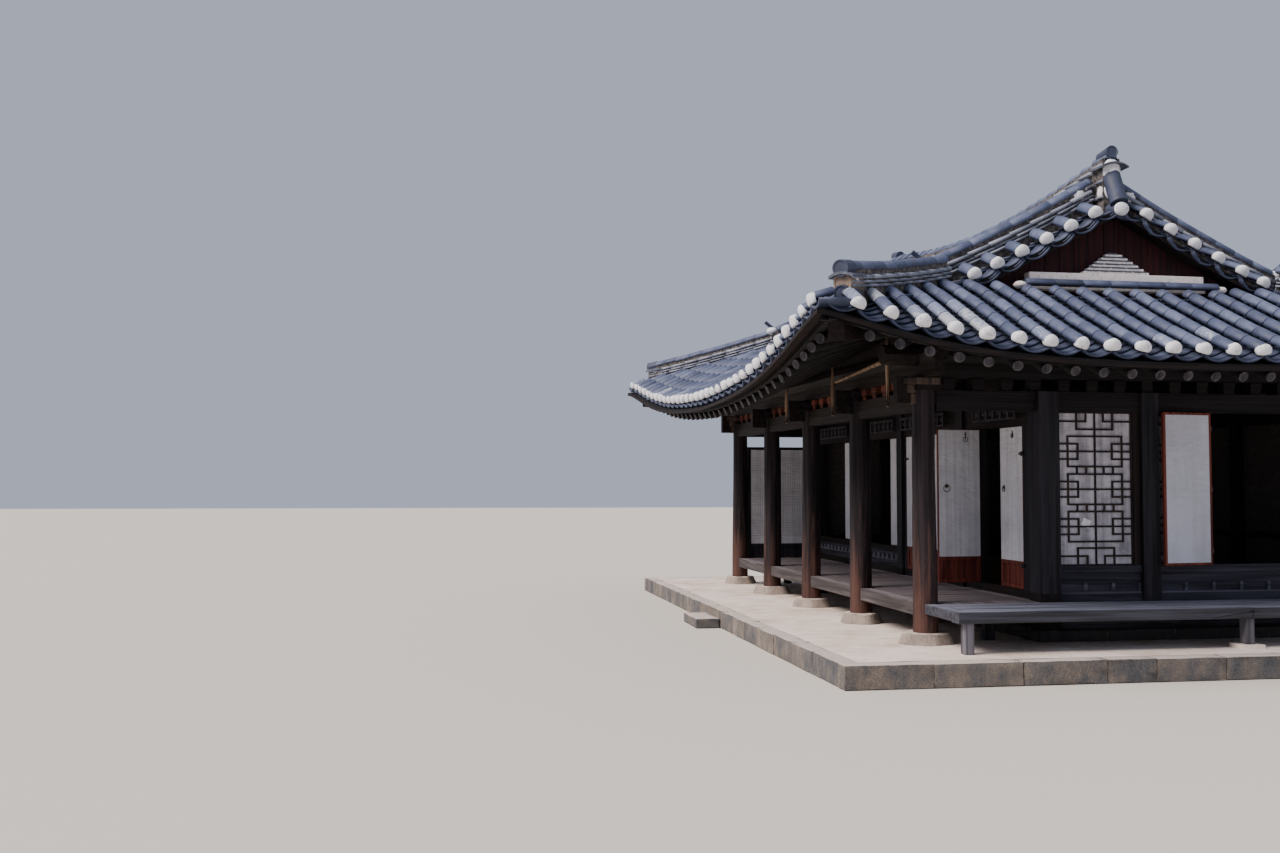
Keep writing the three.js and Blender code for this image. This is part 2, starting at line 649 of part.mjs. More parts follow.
// Two leaves folded back to back, the outer one standing a little off the inner one
const FOLD_LEAF = 650;
const FOLD_ANGLE = 0.12;
const FOLD_OUT = 75;
const FOLD_STRIP = 35;
function foldedPair() {
  const x0 = midPostCut;
  const x1 = x0 + FOLD_STRIP + FOLD_LEAF;
  const inner = endLeaf(x0, x1, WINDOW_FOOT + REST, windowTop);
  const pin = block(x1 - 22, x1 - 2, leafY - 60, leafY, WINDOW_FOOT + 60, windowTop - 60);
  const outerGeometry = new THREE.BoxGeometry(FOLD_LEAF, LEAF_THICK, windowTop - WINDOW_FOOT);
  outerGeometry.translate(-FOLD_LEAF / 2, 0, TOP + (windowTop + WINDOW_FOOT) / 2);
  outerGeometry.rotateZ(FOLD_ANGLE);
  outerGeometry.translate(x1, leafY - FOLD_OUT, 0);
  return joined([inner, pin, toSolid(outerGeometry)]);
}
const foldShift = endX1 + midPostCut;
addPiece("side_window_leaves_1", foldedPair(), paper);
addPiece("side_window_leaves_2", mirrorX(foldedPair()).translate([foldShift, 0, 0]), paper);

// Far end wall, closed, and the papered screen at the veranda's far end
const HEAD_RAIL = 50;
function farRail(z0, z1) {
  return block(endX0, endX1, END_Y - wallFace, END_Y + wallFace, z0, z1);
}
const farWall = joined([
  block(endX0, endX1, END_Y - PANEL_HALF, END_Y + PANEL_HALF, sillTop - 10, windowTop),
  farRail(seat, sillTop),
  farRail(railFoot, WINDOW_FOOT),
  farRail(windowTop - HEAD_RAIL, windowTop),
  mirrorY(midPost),
]);
addPiece("far_end_wall", farWall, wood);

const SCREEN_FOOT = 690;
const SCREEN_HEAD = 2390;
const SCREEN_HALF = 15;
const FRAME_HALF = 30;
const FRAME_WIDTH = 50;
const screenX0 = -OUTER_X + COLUMN_FOOT_RADIUS + REST;
const screenX1 = INNER_X - cornerHalf - REST;
const screenFloor = FLOOR_TOP + REST;
function screenBar(x0, x1, z0, z1, half = FRAME_HALF) {
  return block(x0, x1, END_Y - half, END_Y + half, z0, z1);
}
const screen = joined([
  screenBar(screenX0, screenX1, screenFloor, SCREEN_HEAD, SCREEN_HALF),
  screenBar(screenX0, screenX1, SCREEN_FOOT - FRAME_WIDTH, SCREEN_FOOT),
  screenBar(screenX0, screenX1, SCREEN_HEAD - FRAME_WIDTH, SCREEN_HEAD),
  screenBar(screenX0, screenX0 + FRAME_WIDTH, screenFloor, SCREEN_HEAD),
  screenBar(screenX1 - FRAME_WIDTH, screenX1, screenFloor, SCREEN_HEAD),
]);
addPiece("veranda_end_screen", screen, paper);

// Back wall, closed, with its own posts and high papered windows
const BACK_WINDOW_FOOT = 1130;
const backWeb = block(OUTER_X - PANEL_HALF, OUTER_X + PANEL_HALF, -END_Y, END_Y, seat, windowTop);
const backRails = [
  [seat, sillTop],
  [BACK_WINDOW_FOOT - RAIL_HEIGHT, BACK_WINDOW_FOOT],
  [windowTop - HEAD_RAIL, windowTop],
].map(([z0, z1]) => block(OUTER_X - wallFace, OUTER_X + wallFace, -END_Y, END_Y, z0, z1));
const backWall = joined([backWeb, ...backRails, ...ROWS.map((y) => backPostBox(y, 0))]);
addPiece("back_wall", backWall, wood);

// Near and far window leaves of the two window bays beside the doors
const SIDE_LEAF = 450;
[2, 3].forEach((bay, i) => {
  const y0 = ROWS[bay] + POST / 2 + REST;
  const leaf = block(
    INNER_X - PANEL_HALF, INNER_X + PANEL_HALF, y0, y0 + SIDE_LEAF, WINDOW_FOOT + REST, DOOR_HEAD - REST);
  addPiece(`veranda_window_leaf_${i + 1}`, leaf, paper);
});

// Door leaves, hung on round knuckles on the veranda face of the jambs
const OPEN_LEAF_DEGREES = 86;
function hangDoor(name, hingeY, width, side, degrees) {
  const free = hingeY + side * width;
  const panel = spanBlock(outerFace, outerFace + LEAF_THICK, hingeY, free, doorFoot, doorHead);
  const leaf = panel.add(movingKnuckles(hingeY, side)).translate([-HINGE_X, -hingeY, 0]);
  addPiece(name, leaf.rotate([0, 0, degrees]).translate([HINGE_X, hingeY, 0]), paper);
}
DOORWAYS.forEach((doorway, i) => {
  const width = (doorway.head - doorway.foot) / 2 - 2 * DOOR_GAP;
  hangDoor(`door_${i + 1}_near_leaf`, doorway.foot + DOOR_GAP, width, 1, 0);
  hangDoor(`door_${i + 1}_far_leaf`, doorway.head - DOOR_GAP, width, -1, i === 0 ? -OPEN_LEAF_DEGREES : 0);
});

// Gable walls, with the stepped stack of tile and lime in front of the boards
const gableY = GABLE_SET_BACK - HALF_LENGTH + REST;
const GABLE_THICK = 100;
function gableOutline() {
  const shape = new THREE.Shape();
  const half = SIDE_ROOF_HALF;
  const foot = tileLow(endTop)(GABLE_SET_BACK, HALF_DEPTH);
  shape.moveTo(-half, foot);
  shape.lineTo(half, foot);
  const steps = 6;
  const s = GABLE_SET_BACK;
  for (let i = 0; i <= 2 * steps; i += 1) {
    const x = half * (1 - i / steps);
    const run = HALF_DEPTH - Math.max(Math.abs(x), RIDGE_HALF);
    shape.lineTo(x, boardLow(longTop)(run, s) - 8);
  }
  return shape;
}
const gableGeometry = new THREE.ExtrudeGeometry(gableOutline(), { depth: GABLE_THICK, bevelEnabled: false });
gableGeometry.rotateX(Math.PI / 2);
gableGeometry.translate(0, gableY + GABLE_THICK, TOP);
const STACK_THICK = 150;
const STACK_HALF = 1150;
const STACK_SINK = 150;
const stackFoot = endTop(GABLE_SET_BACK, HALF_DEPTH - STACK_HALF) + 10;
const STACK_STEPS = [
  { half: STACK_HALF, foot: -STACK_SINK, top: 110 },
  { half: 420, foot: 100, top: 180 },
  { half: 230, foot: 170, top: 250 },
];
const stack = STACK_STEPS.map((step) => block(
  -step.half, step.half, gableY - STACK_THICK, gableY + 10, stackFoot + step.foot, stackFoot + step.top));
const gable = joined([toSolid(gableGeometry), ...stack]).subtract(padded(endTiles));
addPiece("bench_end_gable", gable, redWood);
addPiece("far_end_gable", mirrorY(gable), redWood);

// Ridges
const RIDGE_WIDTH = 290;
const RIDGE_MIDDLE_TOP = 5500;
const RIDGE_END_LIFT = 270;
const RIDGE_END = HALF_LENGTH - HIP_RUN - 170;
const ridgeSeat = longTop(RIDGE_RUN, HALF_LENGTH);
function ridgeOutline() {
  const shape = new THREE.Shape();
  const cells = 10;
  shape.moveTo(-RIDGE_END, ridgeSeat + REST);
  for (let i = 0; i <= cells; i += 1) {
    const y = RIDGE_END * ((2 * i) / cells - 1);
    shape.lineTo(y, RIDGE_MIDDLE_TOP + RIDGE_END_LIFT * Math.pow(y / RIDGE_END, 2));
  }
  shape.lineTo(RIDGE_END, ridgeSeat + REST);
  return shape;
}
const ridgeGeometry = new THREE.ExtrudeGeometry(ridgeOutline(), { depth: RIDGE_WIDTH, bevelEnabled: false });
ridgeGeometry.rotateX(Math.PI / 2);
ridgeGeometry.rotateZ(Math.PI / 2);
ridgeGeometry.translate(-RIDGE_WIDTH / 2, 0, TOP);
const tongueHalf = RIDGE_HALF - REST;
const tongueEnd = HALF_LENGTH - HIP_RUN - REST;
const tongue = block(-tongueHalf, tongueHalf, -tongueEnd, tongueEnd, ridgeSeat - 200, ridgeSeat + 50);
addPiece("main_ridge", toSolid(ridgeGeometry).add(tongue), tile);

// A ridge laid along a path on the roof, cut to the tiles under it
const LAP = 5;
const CUT_DEPTH = 400;
const cutLow = (top) => (d, s) => top(d, s) - CUT_DEPTH;
const cutHigh = (top) => (d, s) => top(d, s) + 2 * REST;
const seamHigh = (top) => (d, s) => top(d, s) - LAP;
const frontCut = joined([
  sheet(frontRuns, ALONG_CELLS, alongStation, frontPlace(0), cutLow(longTop), cutHigh(longTop)),
  sheet(frontRuns, ALONG_CELLS, alongStation, frontPlace(-LAP), cutLow(longTop), seamHigh(longTop)),
]);
const endCut = joined([
  sheet(endRuns, ALONG_CELLS, alongStation, endPlace(0), cutLow(endTop), cutHigh(endTop)),
  sheet(endRuns, ALONG_CELLS, alongStation, endPlace(-LAP), cutLow(endTop), seamHigh(endTop)),
]);
const halfCut = joined([frontCut, mirrorY(frontCut), endCut, mirrorX(endCut)]);
const roofCut = halfCut.add(mirrorX(halfCut));
function laidRidge(path, width) {
  const half = width / 2;
  const slabs = [];
  for (let i = 0; i < path.length - 1; i += 1) {
    const [a, b] = [path[i], path[i + 1]];
    const run = Math.hypot(b.x - a.x, b.y - a.y);
    const shape = new THREE.Shape();
    shape.moveTo(-1, a.foot);
    shape.lineTo(run + 1, b.foot);
    shape.lineTo(run + 1, b.top);
    shape.lineTo(-1, a.top);
    const geometry = new THREE.ExtrudeGeometry(shape, { depth: width, bevelEnabled: false });
    geometry.rotateX(Math.PI / 2);
    geometry.translate(0, half, 0);
    geometry.rotateZ(Math.atan2(b.y - a.y, b.x - a.x));
    geometry.translate(a.x, a.y, TOP);
    slabs.push(toSolid(geometry));
  }
  return joined(slabs);
}

// Descending ridges, from the end of the main ridge down both sides of each gable
const LAID_WIDTH = 220;
const DESCENT_Y = HIP_RUN - HALF_LENGTH + 400;
const DESCENT_FOOT_RUN = HIP_RUN + 90;
const DESCENT_RISE = 350;
function descentPath() {
  const cells = 5;
  return Array.from({ length: cells + 1 }, (_, i) => {
    const run = DESCENT_FOOT_RUN + ((RIDGE_RUN - DESCENT_FOOT_RUN) * i) / cells;
    const skin = longTop(run, DESCENT_Y + HALF_LENGTH);
    return { x: run - HALF_DEPTH, y: DESCENT_Y, foot: skin - 60, top: skin + DESCENT_RISE };
  });
}
const RIDGE_GAP = RIDGE_WIDTH / 2 + REST;
const ridgeSide = block(-RIDGE_GAP, RIDGE_GAP, -HALF_LENGTH, 0, 4000, 7000);
const descent = laidRidge(descentPath(), LAID_WIDTH).subtract(roofCut).subtract(ridgeSide);
addPiece("descending_ridge_1", descent, tile);
addPiece("descending_ridge_2", mirrorX(descent), tile);
addPiece("descending_ridge_3", mirrorY(descent), tile);
addPiece("descending_ridge_4", mirrorX(mirrorY(descent)), tile);

// Hip ridges, from near the eave corner up to the foot of each descending ridge
const HIP_START = 400;
const HIP_RISE = 330;
const descentCut = block(
  DESCENT_FOOT_RUN - HALF_DEPTH - REST, 0, -HALF_LENGTH, DESCENT_Y + LAID_WIDTH, 3000, 6000);
function hipPath() {
  const cells = 4;
  return Array.from({ length: cells + 1 }, (_, i) => {
    const run = HIP_START + ((HIP_RUN + 250 - HIP_START) * i) / cells;
    const skin = hipTop(Math.min(run, HIP_RUN)) + 0.3 * Math.max(0, run - HIP_RUN);
    return { x: run - HALF_DEPTH, y: run - HALF_LENGTH, foot: skin - 120, top: skin + HIP_RISE };
  });
}
const hipRidge = laidRidge(hipPath(), LAID_WIDTH).subtract(roofCut).subtract(descentCut);
addPiece("hip_ridge_1", hipRidge, tile);
addPiece("hip_ridge_2", mirrorX(hipRidge), tile);
addPiece("hip_ridge_3", mirrorY(hipRidge), tile);
addPiece("hip_ridge_4", mirrorX(mirrorY(hipRidge)), tile);

export default house;
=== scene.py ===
"""Looks of the hanok house: tiles, ridges, timber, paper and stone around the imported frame.

Everything is in metres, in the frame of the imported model: +Z up, the veranda along -X, the bench
along -Y, and the origin on the ground under the middle of the house.
"""

from __future__ import annotations

import logging
import math
import random
from collections.abc import Callable, Iterable, Iterator
from contextlib import contextmanager
from dataclasses import dataclass, field
from enum import Enum

import bmesh
import bpy
import numpy as np
from bpy.types import Material, Node, NodeSocket, NodeTree, Object
from mathutils import Matrix, Vector


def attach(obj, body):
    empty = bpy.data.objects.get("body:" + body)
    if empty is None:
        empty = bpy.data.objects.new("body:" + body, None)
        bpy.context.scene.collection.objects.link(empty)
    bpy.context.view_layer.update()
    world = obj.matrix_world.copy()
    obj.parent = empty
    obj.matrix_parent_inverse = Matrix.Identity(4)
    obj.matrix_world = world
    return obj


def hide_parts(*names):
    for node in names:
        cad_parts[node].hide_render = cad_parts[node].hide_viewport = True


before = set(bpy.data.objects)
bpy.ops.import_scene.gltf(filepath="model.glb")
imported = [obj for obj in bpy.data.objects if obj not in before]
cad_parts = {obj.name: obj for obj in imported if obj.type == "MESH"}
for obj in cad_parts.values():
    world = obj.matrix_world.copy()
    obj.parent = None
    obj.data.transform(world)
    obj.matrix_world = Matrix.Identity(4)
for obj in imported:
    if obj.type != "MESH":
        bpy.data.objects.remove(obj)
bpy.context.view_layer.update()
LOG = logging.getLogger("hanok")
HOUSE = "house"
# The turn that lays an upright piece along X
ALONG_X = (0.0, math.pi / 2, 0.0)
GROUND_TO_TOP = 0.235
# Where the columns stand along the veranda, and the bays between them
COLUMN_ROWS = (-4.12, -2.06, 0.0, 2.06, 4.12)
BAYS = tuple(zip(COLUMN_ROWS, COLUMN_ROWS[1:]))


# Small helpers


def linear(code: str) -> tuple[float, float, float, float]:
    """Turn an sRGB hex colour into linear values.

    Args:
        code: Six hex digits.

    Returns:
        Red, green, blue and alpha.
    """
    parts = [int(code[i : i + 2], 16) / 255 for i in (0, 2, 4)]
    done = [p / 12.92 if p <= 0.04045 else ((p + 0.055) / 1.055) ** 2.4 for p in parts]
    return (done[0], done[1], done[2], 1.0)


def feed(tree: NodeTree, node: Node, inputs: dict[str | int, object]) -> None:
    """Set a node's inputs, or link what feeds them.

    Args:
        tree: The node tree.
        node: The node.
        inputs: Values, nodes or output sockets by input name or number.
    """
    for key, value in inputs.items():
        if isinstance(value, Node):
            value = next(output for output in value.outputs if output.enabled)
        if isinstance(value, NodeSocket):
            tree.links.new(value, node.inputs[key])
        else:
            node.inputs[key].default_value = value


def add_node(
    tree: NodeTree,
    kind: str,
    inputs: dict[str | int, object] | None = None,
    stops: list[tuple[float, str]] | None = None,
    **settings: object,
) -> Node:
    """Add a node, set it up and link what feeds it.

    Args:
        tree: The node tree.
        kind: Blender's name for the kind of node, after "ShaderNode".
        inputs: Values, nodes or output sockets by input name or number.
        stops: Positions and hex colours along the node's ramp, two or more.
        settings: Attributes of the node.

    Returns:
        The node.
    """
    node = tree.nodes.new(f"ShaderNode{kind}")
    for key, value in settings.items():
        setattr(node, key, value)
    feed(tree, node, inputs or {})
    for index, (position, code) in enumerate(stops or []):
        points = node.color_ramp.elements
        point = points[index] if index < 2 else points.new(position)
        point.position, point.color = position, linear(code)
    return node


def deselect() -> None:
    """Leave object mode with nothing selected."""
    if bpy.context.object and bpy.context.object.mode != "OBJECT":
        bpy.ops.object.mode_set(mode="OBJECT")
    bpy.ops.object.select_all(action="DESELECT")


def pick(*objects: Object) -> None:
    """Select objects and make the first one active.

    Args:
        objects: The objects.
    """
    deselect()
    for obj in objects:
        obj.select_set(True)
    bpy.context.view_layer.objects.active = objects[0]


@contextmanager
def editing(action: str = "SELECT") -> Iterator[None]:
    """Edit the active object's mesh.

    Args:
        action: What is done to the selection first.

    Returns:
        A context in which the mesh is open.
    """
    bpy.ops.object.mode_set(mode="EDIT")
    bpy.ops.mesh.select_all(action=action)
    yield
    bpy.ops.object.mode_set(mode="OBJECT")


def choose(obj: Object, kind: str, test: Callable[[object], bool]) -> None:
    """Select the parts of an open mesh that pass a test.

    Args:
        obj: The object.
        kind: Which parts, "faces" or "edges".
        test: The test.
    """
    bpy.ops.mesh.select_all(action="DESELECT")
    bm = bmesh.from_edit_mesh(obj.data)
    for item in getattr(bm, kind):
        item.select = test(item)
    bmesh.update_edit_mesh(obj.data)


def cut_rings(levels: Iterable[float]) -> None:
    """Cut level rings round the active object's mesh.

    Args:
        levels: Their heights.
    """
    with editing():
        for level in levels:
            bpy.ops.mesh.select_all(action="SELECT")
            bpy.ops.mesh.bisect(plane_co=(0, 0, level), plane_no=(0, 0, 1))


def smooth(obj: Object, degrees: float) -> None:
    """Shade smooth across edges below an angle."""
    pick(obj)
    bpy.ops.object.shade_smooth_by_angle(angle=math.radians(degrees))


def rename(obj: Object, name: str) -> Object:
    """Name an object and its mesh.

    Args:
        obj: The object.
        name: The name.

    Returns:
        The object.
    """
    obj.name = name
    obj.data.name = name
    return obj


def settle(obj: Object, name: str) -> Object:
    """Name a new object and move its place into its mesh.

    Args:
        obj: The object.
        name: The name.

    Returns:
        The object.
    """
    pick(obj)
    bpy.ops.object.transform_apply(location=True, rotation=True, scale=True)
    return rename(obj, name)


def cylinder(
    name: str,
    sides: int,
    radius: float,
    depth: float,
    middle: tuple[float, float, float] | Vector,
    turn: tuple[float, float, float] = (0.0, 0.0, 0.0),
) -> Object:
    """Model a round piece.

    Args:
        name: Its name.
        sides: Steps round it.
        radius: Its radius.
        depth: Its length.
        middle: Its middle.
        turn: Its turn from upright, in radians about X, Y and Z.

    Returns:
        The piece.
    """
    deselect()
    bpy.ops.mesh.primitive_cylinder_add(
        vertices=sides, radius=radius, depth=depth, location=middle, rotation=turn
    )
    return settle(bpy.context.object, name)


def moved(obj: Object, place: Matrix) -> Object:
    """Move an object's mesh by a matrix.

    Args:
        obj: The object.
        place: The matrix.

    Returns:
        The object.
    """
    for vertex in obj.data.vertices:
        vertex.co = place @ vertex.co
    obj.data.update()
    return obj


def frame_at(origin: Vector, *axes: Vector) -> Matrix:
    """A frame at a point.

    Args:
        origin: The point.
        axes: The directions of X, Y and Z.

    Returns:
        The frame.
    """
    made = Matrix(axes).transposed().to_4x4()
    made.translation = origin
    return made


class Axis(Enum):
    """The way that a piece of timber's grain runs."""

    X = 0
    Y = 1
    Z = 2


@dataclass(frozen=True)
class Bar:
    """A squared piece of wood or stone between two corners, turned about its middle."""

    low: tuple[float, float, float]
    high: tuple[float, float, float]
    turn: tuple[float, float, float] = (0.0, 0.0, 0.0)


def joinery(name: str, bars: list[Bar], bevel: float, segments: int = 1) -> Object:
    """Cut a set of squared bars with eased edges as one mesh.

    Args:
        name: The object's name.
        bars: The bars.
        bevel: Width of the eased edges.
        segments: Steps of each eased edge.

    Returns:
        The new object.
    """
    deselect()
    bpy.ops.mesh.primitive_cube_add(size=1, location=(0, 0, 0))
    obj = bpy.context.object
    with editing():
        bpy.ops.mesh.delete(type="VERT")
        for bar in bars:
            middle = [(a + b) / 2 for a, b in zip(bar.low, bar.high)]
            size = [abs(b - a) for a, b in zip(bar.low, bar.high)]
            bpy.ops.mesh.primitive_cube_add(size=1, location=middle, rotation=bar.turn, scale=size)
        bpy.ops.mesh.select_all(action="SELECT")
        if bevel:
            bpy.ops.mesh.bevel(offset=bevel, segments=segments, affect="EDGES", clamp_overlap=True)
    return settle(obj, name)


def closed_grid(along: int, across: int) -> Object:
    """Add a closed block of cells, with X, Y from -0.5 to 0.5 and Z from 0 to 1.

    Args:
        along: Cells along X.
        across: Cells along Y.

    Returns:
        The new object.
    """
    deselect()
    bpy.ops.mesh.primitive_grid_add(x_subdivisions=along, y_subdivisions=across, size=1)
    with editing():
        bpy.ops.mesh.extrude_region_move(TRANSFORM_OT_translate={"value": (0, 0, 1)})
        bpy.ops.mesh.select_all(action="SELECT")
        bpy.ops.mesh.normals_make_consistent(inside=False)
    return bpy.context.object


def read_mesh(
    items: bpy.types.bpy_prop_collection, key: str, kind: type, each: int = 1
) -> np.ndarray:
    """Read one value of every vertex, corner or face of a mesh.

    Args:
        items: The vertices, corners or faces.
        key: The value's name.
        kind: The value's type.
        each: How many numbers it has.

    Returns:
        The values.
    """
    values = np.empty(len(items) * each, kind)
    items.foreach_get(key, values)
    return values


def lay(
    name: str, model: Object, places: list[Matrix], tones: list[float] | None = None
) -> Object:
    """Lay copies of one modelled piece at many places, as one mesh.

    Args:
        name: The new object's name.
        model: The piece that is copied.
        places: One matrix for each copy.
        tones: A number from 0 to 1 for each copy, kept in the attribute "tone", or 1 more for
            one that is dabbed with lime.

    Returns:
        The new object.
    """
    source = model.data
    count = len(places)
    verts = read_mesh(source.vertices, "co", float, 3).reshape(-1, 3)
    loops = read_mesh(source.loops, "vertex_index", np.int32)
    starts = read_mesh(source.polygons, "loop_start", np.int32)
    stack = np.array([[list(row) for row in m] for m in places])
    spots = np.einsum("nij,vj->nvi", stack[:, :3, :3], verts) + stack[:, None, :3, 3]
    shift = np.arange(count)[:, None]
    corners = (loops + shift * len(verts)).ravel().astype(np.int32)
    faces = (starts + shift * len(loops)).ravel().astype(np.int32)
    mesh = bpy.data.meshes.new(name)
    mesh.vertices.add(count * len(verts))
    mesh.vertices.foreach_set("co", spots.ravel())
    mesh.loops.add(count * len(loops))
    mesh.loops.foreach_set("vertex_index", corners)
    mesh.polygons.add(count * len(starts))
    mesh.polygons.foreach_set("loop_start", faces)
    for key, kind in (("material_index", np.int32), ("use_smooth", bool)):
        mesh.polygons.foreach_set(key, np.tile(read_mesh(source.polygons, key, kind), count))
    for material in source.materials:
        mesh.materials.append(material)
    tone = mesh.attributes.new("tone", "FLOAT", "POINT")
    values = np.repeat(np.array(tones if tones is not None else [0.5] * count), len(verts))
    tone.data.foreach_set("value", values.astype(np.float32))
    mesh.update(calc_edges=True)
    mesh.validate()
    obj = bpy.data.objects.new(name, mesh)
    bpy.context.scene.collection.objects.link(obj)
    return obj


def drop(*models: Object) -> None:
    """Delete models once their copies are laid."""
    for model in models:
        bpy.data.objects.remove(model)


def swept(
    name: str, stations: list[Matrix], width: float, spans: list[tuple[float, float]]
) -> Object:
    """Run a squared bar along a line of stations.

    Args:
        name: The object's name.
        stations: Frames along the line, with X along it, Y across and Z up.
        width: The bar's width.
        spans: Foot and top of the bar at each station.

    Returns:
        The new object.
    """
    count = len(stations)
    obj = closed_grid(count - 1, 1)
    for vertex in obj.data.vertices:
        step = round((vertex.co.x + 0.5) * (count - 1))
        low, high = spans[step]
        level = high if vertex.co.z > 0.5 else low
        vertex.co = stations[step] @ Vector((0, vertex.co.y * width, level))
    obj.data.update()
    return rename(obj, name)


def merged(name: str, parts: list[Object]) -> Object:
    """Join objects into one, under a new name.

    Args:
        name: The new name.
        parts: The objects, two or more.

    Returns:
        The joined object.
    """
    pick(*parts)
    bpy.ops.object.join()
    return rename(bpy.context.object, name)


def finish_piece(
    obj: Object,
    material: Material | None,
    slot: str,
    stands_for: tuple[str, ...] = (),
    body: str = HOUSE,
) -> None:
    """Dress a piece, make it ride on its body and log it.

    Args:
        obj: The piece.
        material: Its finish, or None where it has one already.
        slot: Not used.
        stands_for: Nodes that the piece replaces.
        body: The body that it rides on.
    """
    if material is not None:
        obj.data.materials.clear()
        obj.data.materials.append(material)
    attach(obj, body)
    if stands_for:
        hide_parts(*stands_for)
    obj.data.calc_loop_triangles()
    LOG.info("%s: %d triangles on %s", obj.name, len(obj.data.loop_triangles), body)


# Finishes


def blank(name: str) -> tuple[Material, NodeTree, Node, NodeSocket]:
    """Make a material to build on.

    Args:
        name: The material's name.

    Returns:
        The material, its node tree, its shader and its object coordinates.
    """
    material = bpy.data.materials.new(name)
    material.use_nodes = True
    tree = material.node_tree
    where = add_node(tree, "TexCoord").outputs["Object"]
    return material, tree, tree.nodes["Principled BSDF"], where


@dataclass(frozen=True)
class SmokedTile:
    """Pressed clay tile, smoked in the kiln: blue-grey and matt, and no two of one shade."""

    name: str = "smoked_clay_tile_pressed"
    dark: str = "2c3246"
    middle: str = "4b546f"
    pale: str = "727c97"
    lime: str = "b4b8bc"
    lime_share: float = 0.67
    limed: float = 0.42

    def make(self) -> Material:
        """Build the material.

        Returns:
            The material.
        """
        material, tree, shader, at = blank(self.name)
        tone = add_node(tree, "Attribute", attribute_name="tone").outputs["Fac"]
        # Blotches about 120 mm across, as the smoke leaves them
        inputs = {"Vector": at, "Scale": 8.0, "Detail": 4.0, "Roughness": 0.6}
        blotch = add_node(tree, "TexNoise", inputs)
        both = add_node(tree, "Math", {0: tone, 1: blotch}, operation="ADD")
        inputs = {"Value": both, "From Min": 0.35, "From Max": 1.65}
        shade = add_node(tree, "MapRange", inputs)
        stops = [(0.0, self.dark), (0.5, self.middle), (1.0, self.pale)]
        smoke = add_node(tree, "ValToRGB", {"Fac": shade}, stops)
        # Lime and lichen in patches of about 60 mm, thick on the few tiles that have a tone over 1
        inputs = {"Vector": at, "Scale": 16.0, "Detail": 8.0, "Roughness": 0.7}
        patch = add_node(tree, "TexNoise", inputs)
        inputs = {"Value": tone, "From Min": 1.0, "From Max": 2.0, "To Max": self.limed}
        chalky = add_node(tree, "MapRange", inputs)
        spread = add_node(tree, "Math", {0: patch, 1: chalky}, operation="ADD")
        low, high = self.lime_share, self.lime_share + 0.12
        inputs = {"Value": spread, "From Min": low, "From Max": high, "To Max": 0.7}
        cover = add_node(tree, "MapRange", inputs)
        inputs = {0: cover, 6: smoke, 7: linear(self.lime)}
        colour = add_node(tree, "Mix", inputs, data_type="RGBA")
        # Grit is under 1 mm, drawn as about 6 mm so that it shows
        grit = add_node(tree, "TexNoise", {"Vector": at, "Scale": 160.0, "Detail": 3.0})
        bump = add_node(tree, "Bump", {"Height": grit, "Distance": 0.0015, "Strength": 0.5})
        rough = add_node(tree, "MapRange", {"Value": blotch, "To Min": 0.5, "To Max": 0.75})
        dressed = {"Base Color": colour, "Normal": bump, "Roughness": rough, "IOR": 1.5}
        feed(tree, shader, dressed)
        return material


@dataclass(frozen=True)
class LimePlaster:
    """Lime plaster pressed on by hand: chalky, off-white, with soft lumps and a little dirt."""

    name: str = "lime_plaster_hand_pressed"
    light: str = "e3e4e9"
    dirt: str = "a09d9e"
    dirt_from: float = 0.52

    def make(self) -> Material:
        """Build the material.

        Returns:
            The material.
        """
        material, tree, shader, at = blank(self.name)
        # Dirt in patches of about 45 mm
        inputs = {"Vector": at, "Scale": 22.0, "Detail": 6.0, "Roughness": 0.7}
        grime = add_node(tree, "TexNoise", inputs)
        stops = [(self.dirt_from, self.light), (self.dirt_from + 0.22, self.dirt)]
        colour = add_node(tree, "ValToRGB", {"Fac": grime}, stops)
        # Finger marks about 25 mm wide
        lumps = add_node(tree, "TexNoise", {"Vector": at, "Scale": 40.0, "Detail": 3.0})
        bump = add_node(tree, "Bump", {"Height": lumps, "Distance": 0.004, "Strength": 0.8})
        dressed = {"Base Color": colour, "Normal": bump, "Roughness": 0.92, "IOR": 1.5}
        feed(tree, shader, dressed)
        return material


